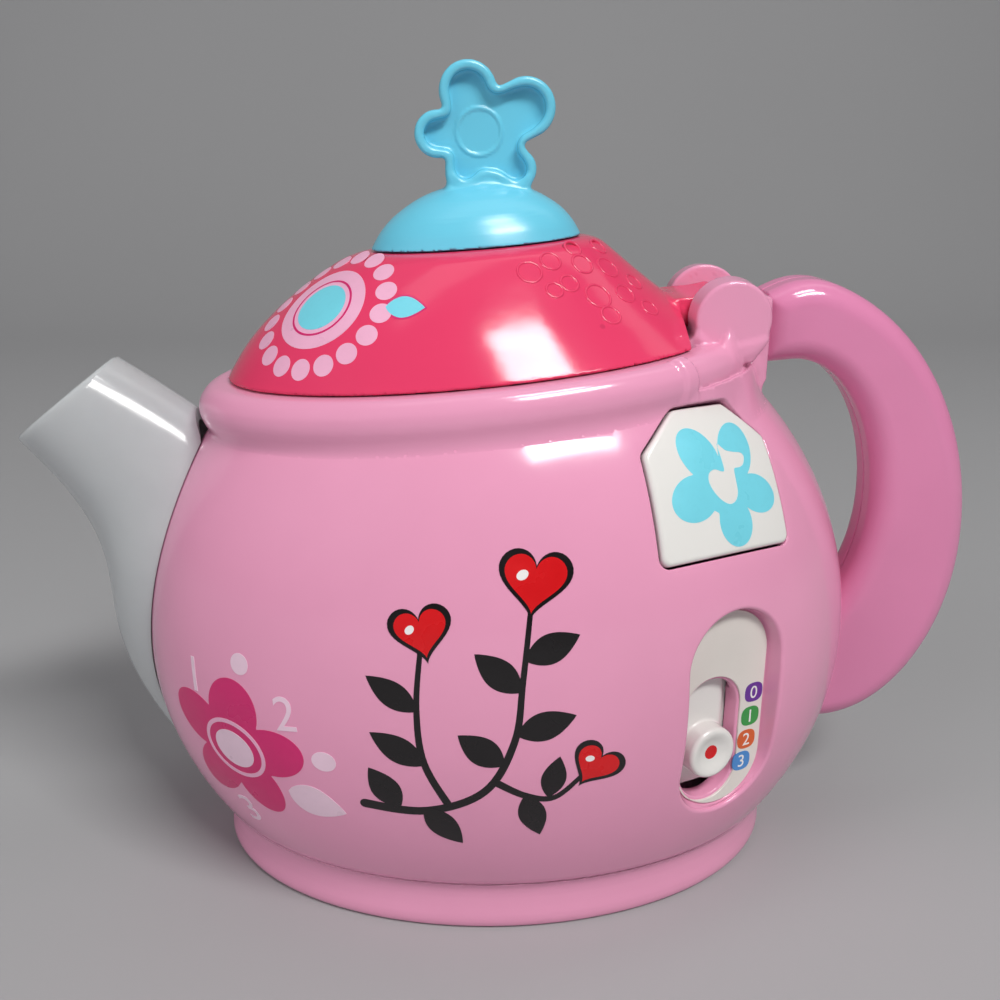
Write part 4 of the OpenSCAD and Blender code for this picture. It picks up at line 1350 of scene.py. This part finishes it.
c0, c1 = len(V), len(V) + 1
V = np.vstack([V, rows[0].mean(0), rows[-1].mean(0)])
F += [(c0, i, (i + 1) % NQ) for i in range(NQ)]
s = (nR - 1) * NQ
F += [(c1, s + (i + 1) % NQ, s + i) for i in range(NQ)]
n0 = len(V)
soc = [(7.3, -71.5), (9.3, -71.5), (9.3, -90.4), (9.1, -90.8), (7.5, -90.8), (7.3, -90.4)]
for r_, x_ in soc:
    a = np.linspace(0, 2 * math.pi, 48, endpoint=False)
    V = np.vstack([V, np.stack([np.full(48, x_), r_ * np.cos(a), 70 + r_ * np.sin(a)], 1)])
for j in range(len(soc)):
    F += strip([n0 + j * 48 + i for i in range(48)], [n0 + (j + 1) % len(soc) * 48 + i for i in range(48)])
me = bpy.data.meshes.new("spout_body"); me.from_pydata((V * .001).tolist(), [], [tuple(int(i) for i in f) for f in F])
bm = bmesh.new(); bm.from_mesh(me); bmesh.ops.recalc_face_normals(bm, faces=bm.faces); bm.to_mesh(me); bm.free()
me.shade_smooth(); me.set_sharp_from_angle(angle=math.radians(40))
sp = bpy.data.objects.new("spout_body", me); scene.collection.objects.link(sp); me.materials.append(spout_m)
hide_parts("spout"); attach(sp, "pot")

# ======================================================================
# Screws with a domed cross head
# ======================================================================
def screw_mesh(rh, hh, rs, ls):
    """Head outwards along +Z from 0 to hh, shaft below."""
    def f(p):
        r = np.hypot(p[..., 0], p[..., 1]); z = p[..., 2]
        hd = smax(smax(r - rh, np.sqrt(r * r + (z - hh + rh * 2.4) ** 2) - rh * 2.4, .25), -z, .15)
        th = .14 * np.cos((z / .9) * 2 * math.pi + np.arctan2(p[..., 1], p[..., 0]))
        sh = smax(smax(r - rs + .14 + th, z, .1), -(z + ls), .1)
        f = np.minimum(hd, sh)
        q = np.abs(p)
        cr = np.minimum(np.maximum(q[..., 0] - 1.5, q[..., 1] - .32), np.maximum(q[..., 1] - 1.5, q[..., 0] - .32))
        dep = (hh - .95) - z + r * .35
        return smax(f, -smax(cr, dep, .1), .1)
    return nets(f, (-rh - .6, -rh - .6, -ls - .6), (rh + .6, rh + .6, hh + .6), .22, 3)


def screws(name, node, spec, places):
    V0, F0 = screw_mesh(*spec)
    Vs, Fs = [], []
    for i, (pos, ax, rot) in enumerate(places):
        z = unit(np.array(ax, float)); x = unit(np.cross([.3, .5, .81], z)); y = np.cross(z, x)
        c_, s_ = math.cos(rot), math.sin(rot)
        x, y = c_ * x + s_ * y, -s_ * x + c_ * y
        Vs.append(np.array(pos, float) + V0[:, :1] * x + V0[:, 1:2] * y + V0[:, 2:] * z)
        Fs.append(F0 + i * len(V0))
    make(name, np.vstack(Vs), np.vstack(Fs), steel, body="lid" if node == "knob_screw" else "pot", reps=(node,), slot="steel", sharp=50)


screws("housing_screw_set", "housing_screws", (2.9, 2.0, 1.5, 21), [((x, 11, z), (0, 1, 0), .4 * i) for i, (x, z) in enumerate([(-62, 40), (-66, 86), (62, 36), (62, 90)])])
screws("handle_screw_set", "handle_screws", (2.7, 1.8, 1.5, 10.4), [((x, 4, z), (0, 1, 0), .7 * i + .2) for i, (x, z) in enumerate(HS)])
screws("base_screw_set", "base_screws", (2.9, 1.9, 1.5, 11.1), [((x, y, 7.9), (0, 0, -1), .5 * i + .3) for i, (x, y) in enumerate(POSTS)])
screws("door_screw", "battery_door_screw", (2.8, .8, 1.5, 8.8), [((35, 0, 4.1), (0, 0, -1), .6)])
screws("knob_screw_body", "knob_screw", (2.9, 1.9, 1.5, 13.9), [((LX, 0, 140.9), (0, 0, -1), .2)])

# ======================================================================
# CAD pieces that stay
# ======================================================================
KEEP = {"collar_screws": steel, "hinge_pin": steel, "lid_plunger": white, "lid_switch": dark_m, "spout_clip": white, "spout_led": led_m,
        "led_board": board_m, "tag_rubber_dome": rubber_m, "tag_board": board_m, "slide_switch": steel, "switch_board": board_m,
        "circuit_board": board_m, "sound_chip": dark_m, "board_screws": steel, "speaker": speaker_m, "speaker_clamp": white,
        "wiring": wire_m, "batteries": cell_m, "battery_contacts": steel}
for k_, m_ in KEEP.items():
    o = NODES[k_]
    for s_ in o.material_slots:
        s_.material = m_
    if not o.material_slots:
        o.data.materials.append(m_)

# ======================================================================
# Prints
# ======================================================================
def petal(c0_, ang, dist, a_, b_, n=40):
    t = math.radians(ang)
    return circle(c0_[0] + dist * math.cos(t), c0_[1] + dist * math.sin(t), a_, n, b_, t)


def union_outline(shapes, res=720):
    """Outer outline of overlapping shapes that all hold the middle of the first one."""
    c = np.mean(shapes[0], 0)
    out = []
    for i in range(res):
        a = 2 * math.pi * i / res
        d = np.array([math.cos(a), math.sin(a)])
        best = 0
        for S_ in shapes:
            p0, p1 = S_ - c, np.roll(S_, -1, 0) - c
            e = p1 - p0
            den = d[0] * e[:, 1] - d[1] * e[:, 0]
            ok = np.abs(den) > 1e-9
            t = np.where(ok, (p0[:, 0] * e[:, 1] - p0[:, 1] * e[:, 0]) / np.where(ok, den, 1), -1)
            s_ = np.where(ok, (p0[:, 0] * d[1] - p0[:, 1] * d[0]) / np.where(ok, den, 1), -1)
            m_ = ok & (t > 0) & (s_ >= 0) & (s_ < 1)
            if m_.any():
                best = max(best, t[m_].max())
        out.append(c + d * best)
    out = np.array(out)
    # thin the points out where they crowd
    keep_, last = [0], out[0]
    for i in range(1, len(out)):
        if np.linalg.norm(out[i] - last) > .28:
            keep_.append(i); last = out[i]
    return out[keep_]


# flower and numbers low on the front, towards the spout
fo = pot_at(-60.4, 44.5)
FL = frame_at(fo, grad(pot_f, fo[None])[0])
pl_f = placer(pot_f, *FL)
core = circle(0, 0, 7.0, 60)
pet = [core, petal((0, 0), 86, 9.6, 7.6, 6.9), petal((0, 0), 8, 10.2, 8.2, 5.9), petal((0, 0), -60, 9.9, 7.9, 5.6), petal((0, 0), -130, 9.8, 7.8, 6.0), petal((0, 0), 158, 11.0, 8.4, 5.9)]
print_on("print_flower", [union_outline(pet)], pl_f, ink_magenta, lift=.05)
print_on("print_flower_ring", [circle(0, -.1, 8.5, 90, 7.1, -.25), circle(0, -.1, 7.5, 80, 6.1, -.25)[::-1]], pl_f, ink_rose, lift=.085)
print_on("print_flower_eye", [circle(-.1, -.2, 5.5, 64, 4.5, -.25)], pl_f, ink_pale, lift=.085)
def dense(loops, s=.8):
    out = []
    for Q in loops:
        Q = np.asarray(Q, float); row = []
        for a, b in zip(Q, np.roll(Q, -1, 0)):
            k = max(1, int(math.ceil(float(np.hypot(b[0] - a[0], b[1] - a[1])) / s)))
            row += [a + (b - a) * i / k for i in range(k)]
        out.append(np.array(row))
    return out


for nm, ch, x_, y_, rot in (("print_number_1", "1", -10.7, 14.8, .10), ("print_number_2", "2", 14.6, 12.2, .12), ("print_number_3", "3", -1.3, -18.6, .28)):
    print_on(nm, dense(xf(glyph(ch, 7.8, .035), x_, y_, rot)), pl_f, ink_pale, spacing=1.0, lift=.08)
print_on("print_dot_a", [circle(3.4, 21, 2.35, 36)], pl_f, ink_pale, lift=.06)
print_on("print_dot_b", [circle(22.8, 2.2, 2.7, 36, 2.4)], pl_f, ink_pale, lift=.06)
print_on("print_leaf", [leaf_shape((13.0, -7.6), (25.8, -11.4), 8.4, .45)], pl_f, ink_pale, lift=.06)

# sprigs with hearts in the middle of the front
so = pot_at(-6, 60)
SP = frame_at(so, grad(pot_f, so[None])[0])
pl_s = placer(pot_f, *SP)
stems = [[(-26, -22), (-13, -22.5), (-1, -17), (5, -5), (6.5, 8), (8, 24)],
         [(-8.5, -20.6), (-13.5, -10), (-14.8, 2), (-14, 14)],
         [(1.2, -14.6), (7.5, -18.2), (13.5, -19), (19, -14)]]
for i, s_ in enumerate(stems):
    print_on("print_stem_%d" % i, [ribbon(s_, 2.3 if i == 0 else 1.7, 1.0)], pl_s, ink_black, lift=.05 + .012 * i)
leaves = [((-18.5, -22), (-25, -12.5), 6.2), ((-13.5, -21.6), (-5.5, -31.5), 6.0), ((3.0, -10.5), (-6.5, -3.5), 6.4), ((5.4, -3.5), (17.5, 0.5), 6.4),
          ((6.3, 6.0), (-3.2, 14), 6.2), ((6.9, 12.6), (17.8, 17.5), 6.2), ((-13.2, -10.8), (-24.5, -4.0), 6.0), ((-14.7, 1.5), (-25, 8.4), 5.6), ((7.5, -18.0), (10.8, -29.2), 5.8), ((12.2, -18.8), (14.4, -8.8), 5.2)]
for i, (a, b, w) in enumerate(leaves):
    print_on("print_sprig_leaf_%d" % i, [leaf_shape(a, b, w, .25)], pl_s, ink_black, lift=.07 + .006 * (i % 3))
hearts = [(8.6, 27.5, 12.5, -.12), (-13.6, 17.5, 10.5, .22), (21.5, -12.0, 9.5, -.6)]
for i, (x_, y_, s_, rot) in enumerate(hearts):
    print_on("print_heart_edge_%d" % i, [heart_shape(x_, y_, s_ + 2.4, rot)], pl_s, ink_black, lift=.10)
    print_on("print_heart_%d" % i, [heart_shape(x_, y_ + .1, s_, rot)], pl_s, ink_red, lift=.13)
    c_, q_ = math.cos(rot), math.sin(rot)
    hx, hy = -s_ * .21, s_ * .14
    print_on("print_heart_shine_%d" % i, [circle(x_ + c_ * hx - q_ * hy, y_ + q_ * hx + c_ * hy, s_ * .10, 26, s_ * .075, rot + .6)], pl_s, ink_white, lift=.155)

# tag: blue flower with a note left open
f_tag_top = lambda p: pot_f(p) - .6
pl_t = placer(f_tag_top, *TAG)


def petal_c(cx, cy, a_, b_, ang):
    return circle(cx, cy, a_, 48, b_, math.radians(ang))


tp = [circle(1.7, -.3, 6.2, 60), petal_c(-2.7, 7.0, 6.4, 4.5, 117), petal_c(7.3, 6.6, 6.6, 4.7, 68), petal_c(10.3, -3.1, 5.5, 4.2, -20), petal_c(2.7, -8.2, 5.2, 4.4, -88), petal_c(-6.4, -1.8, 5.8, 4.8, 195)]
note = smooth_line([(2.9, 8.7), (4.6, 7.1), (6.9, 6.4), (8.9, 6.0), (9.5, 5.0), (8.6, 3.5), (7.2, 2.95), (5.7, 2.9), (5.35, 1.6), (5.15, -.4), (4.85, -2.3), (3.7, -3.9), (1.9, -4.3),
                    (.1, -3.2), (-1.4, -1.2), (-2.1, 1.0), (-1.5, 2.8), (.2, 3.4), (2.0, 2.7), (2.75, 3.0), (2.85, 5.5)], 3, closed=True)
print_on("print_tag_flower", [union_outline(tp), note[::-1]], pl_t, ink_blue, body="tag_button", spacing=1.2, lift=.05)

# lid: rosette of dots
def to_uv(fr, X):
    q = np.asarray(X, float) - fr[0]
    return np.stack([q @ fr[1], q @ fr[2]], -1)


lo_ = np.array([-39.9, -17.9, 136.2]); lg = grad(lid_f, lo_[None])[0]
LF = frame_at(lo_, lg)
pl_l = placer(lid_f, *LF)


cen = to_uv(LF, [(-39.9, -17.4, 136.3)])[0]
print_on("print_rosette_ring", [circle(cen[0], cen[1], 10.6, 110)], pl_l, ink_rose, body="lid", lift=.05)
print_on("print_rosette_line", [circle(cen[0], cen[1], 7.5, 90), circle(cen[0], cen[1], 7.0, 90)[::-1]], pl_l, ink_magenta, body="lid", lift=.08)
print_on("print_rosette_eye", [circle(cen[0], cen[1], 6.0, 80)], pl_l, ink_blue, body="lid", lift=.08)
for i in range(17):
    a = 2 * math.pi * (i + .35) / 17
    print_on("print_rosette_dot_%d" % i, [circle(cen[0] + 15.2 * math.cos(a), cen[1] + 15.2 * math.sin(a), 2.35, 34)], pl_l, ink_rose, body="lid", lift=.05)
lt = np.array([(-26.1, -25.2, 137.5), (-18, -27.6, 137.7)]); lm = lt.mean(0)
LL = frame_at(lm, grad(lid_f, lm[None])[0])
pl_ll = placer(lid_f, *LL)
ab = to_uv(LL, lt)
print_on("print_lid_leaf_edge", [leaf_shape(ab[0] + [-.5, 0], ab[1] + [.5, 0], 6.0, .3)], pl_ll, ink_magenta, body="lid", lift=.045)
print_on("print_lid_leaf", [leaf_shape(ab[0], ab[1], 5.2, .3)], pl_ll, ink_blue, body="lid", lift=.075)

# raised bubble rings on the lid
def tube_ring(name, fr, place, cx, cy, R_, rt, mat, body, sink=.12):
    n = max(28, int(2 * math.pi * R_ / .5)); m = 10
    P_ = circle(cx, cy, R_, n)
    X, N_ = place(P_)
    T_ = unit(np.roll(X, -1, 0) - np.roll(X, 1, 0)); B_ = unit(np.cross(T_, N_))
    V_ = []
    for j in range(m):
        a = 2 * math.pi * j / m
        V_.append(X + rt * (math.cos(a) * B_ + math.sin(a) * N_) - sink * N_)
    V_ = np.vstack(V_)
    F_ = []
    for j in range(m):
        F_ += strip([j * n + i for i in range(n)], [(j + 1) % m * n + i for i in range(n)])
    return V_, outward(V_, F_)


BUB = [(3.9, -22.4, 144.3, 2.6), (8.6, -19.3, 146.3, 2.2), (12.4, -22.3, 142, 2.0), (15.7, -17, 145.4, 2.4), (21.8, -13.8, 144.4, 2.6), (18.6, -22.3, 139.4, 2.9), (21, -25.1, 135.8, 2.2),
       (13.9, -14.3, 148.5, 1.9), (25, -18.2, 139.3, 2.3), (27.9, -12.5, 141.1, 2.0), (20.3, -8.7, 148.3, 2.0), (30.2, -17.6, 135.6, 2.0), (9.0, -24.4, 140.8, 1.8)]
BV, BF, bo = [], [], 0
for x_, y_, zz, R_ in BUB:
    c_ = np.array([x_, y_, zz])
    fr = frame_at(c_, grad(lid_f, c_[None])[0])
    V_, F_ = tube_ring("b", fr, placer(lid_f, *fr), 0, 0, R_, .34, hot, "lid")
    BV.append(V_); BF += [tuple(i + bo for i in f) for f in F_]; bo += len(V_)
make("lid_bubble_rings", np.vstack(BV), BF, hot, body="lid", slot="lid_plastic")

# numbered tiles on the switch label
TILE = [("0", (10.8, -1.3), lin(104, 48, 150)), ("1", (10.3, -7.1), lin(58, 150, 72)), ("2", (9.75, -12.8), lin(214, 96, 44)), ("3", (8.8, -18.1), lin(74, 138, 206))]


def flat_place(P_):
    X = loc(SLD, P_, FLOOR + .5)
    return X, np.tile(SLD[3], (len(X), 1))


def tile(cx, cy, w, h_, n=44, pw=2.7, rot=.06):
    a = np.linspace(0, 2 * math.pi, n, endpoint=False)
    x = w / 2 * np.sign(np.cos(a)) * np.abs(np.cos(a)) ** (2 / pw); y = h_ / 2 * np.sign(np.sin(a)) * np.abs(np.sin(a)) ** (2 / pw)
    return np.stack([cx + x, cy + y], 1)


for ch, (x_, y_), col in TILE:
    print_on("print_tile_" + ch, [tile(x_, y_, 4.9, 4.7)], flat_place, ink("ink_tile_" + ch, col), spacing=1.0, lift=.04)
    print_on("print_digit_" + ch, xf(glyph(ch, 3.0, .03), x_, y_, 0), flat_place, ink_white, spacing=.8, lift=.07)


def dot_place(P_):
    r2 = np.sum((P_ - [SLOT_U, REST_V]) ** 2, 1)
    X = loc(SLD, P_, 4.65 - np.sqrt(9.35 ** 2 - r2))
    N_ = unit(loc(SLD, [[SLOT_U, REST_V]], 4.65) - X)
    return X, N_


print_on("print_slider_dot", [circle(SLOT_U, REST_V, 1.65, 40)], dot_place, ink_red, body="slider", spacing=.8, lift=.04)

# ======================================================================
# Stage, lights, camera
# ======================================================================
def stage_mat(name, col):
    M = Mat(name)
    M.l(M.mix(M.rng(M.noise(1.2, 2), .3, .7, 0, 1), sc(col, .97), sc(col, 1.02)), M.b.inputs["Base Color"])
    M.b.inputs["Roughness"].default_value = .85
    return M.m


sw = []
for i in range(41):
    if i <= 12:
        sw.append((-1.4 + 2.1 * i / 12, 0))
    elif i <= 32:
        a = math.pi / 2 * (i - 12) / 20
        sw.append((.7 + .55 * math.sin(a), .55 * (1 - math.cos(a))))
    else:
        sw.append((1.25, .55 + 1.6 * (i - 32) / 8))
V = [(x, y, z) for y, z in sw for x in (-2.2, 2.2)]
F = [(2 * i, 2 * i + 1, 2 * i + 3, 2 * i + 2) for i in range(len(sw) - 1)]
me = bpy.data.meshes.new("studio_floor"); me.from_pydata(V, [], F); me.shade_smooth()
fl_o = bpy.data.objects.new("studio_floor", me); scene.collection.objects.link(fl_o)
me.materials.append(stage_mat("stage_grey", lin(168, 168, 170)))


def area(name, pos, target, sx, sy, power, col=(1, 1, 1), spread=180):
    L = bpy.data.lights.new(name, "AREA"); L.shape = "RECTANGLE"; L.size = sx; L.size_y = sy; L.energy = power; L.color = col
    L.spread = math.radians(spread)
    o = bpy.data.objects.new(name, L); scene.collection.objects.link(o)
    o.location = pos
    d = Vector(target) - Vector(pos)
    o.rotation_euler = d.to_track_quat("-Z", "Y").to_euler()
    return o


area("key_window", (.44, -.80, 1.15), (.01, -.02, .10), .62, .22, 14.9, (1, .99, .97))
lo_ = area("lid_window", (.24, -.50, 1.22), (0, -.02, .13), .42, .16, 6.0)
lo_.visible_diffuse = False
lo_ = area("fill_left", (-1.3, -.9, .9), (0, 0, .08), 1.4, 1.0, 10.0)
lo_.visible_glossy = False
lo_ = area("front_low", (.1, -1.3, .12), (0, 0, .05), 1.8, .4, 1.3)
lo_.visible_glossy = False
area("top_soft", (0, .2, 1.7), (0, 0, .05), 1.8, 1.4, 1.5)
area("back_wash", (.4, .2, 1.5), (0, 1.25, .6), 2.2, .6, 4)
w_ = bpy.data.worlds.new("pale_world"); scene.world = w_; w_.use_nodes = True
w_.node_tree.nodes["Background"].inputs["Color"].default_value = (.86, .87, .88, 1)
w_.node_tree.nodes["Background"].inputs["Strength"].default_value = .07
scene.view_settings.view_transform = "Standard"

yaw, pitch, roll = math.radians(4.14), math.radians(18.35), math.radians(.60)
fw = np.array([math.sin(yaw) * math.cos(pitch), math.cos(yaw) * math.cos(pitch), -math.sin(pitch)])
r0 = np.array([math.cos(yaw), -math.sin(yaw), 0]); u0_ = np.cross(r0, fw)
ri = math.cos(roll) * r0 + math.sin(roll) * u0_
up = -math.sin(roll) * r0 + math.cos(roll) * u0_
cam_d = bpy.data.cameras.new("photo_camera"); cam_d.sensor_width = 36; cam_d.lens = 40.14; cam_d.clip_start = .01
cam_o = bpy.data.objects.new("photo_camera", cam_d); scene.collection.objects.link(cam_o)
M4 = Matrix.Identity(4)
for i in range(3):
    M4[i][0], M4[i][1], M4[i][2] = ri[i], up[i], -fw[i]
M4[0][3], M4[1][3], M4[2][3] = -.0188, -.2574, .1724
cam_o.matrix_world = M4
scene.camera = cam_o

bpy.context.view_layer.update()
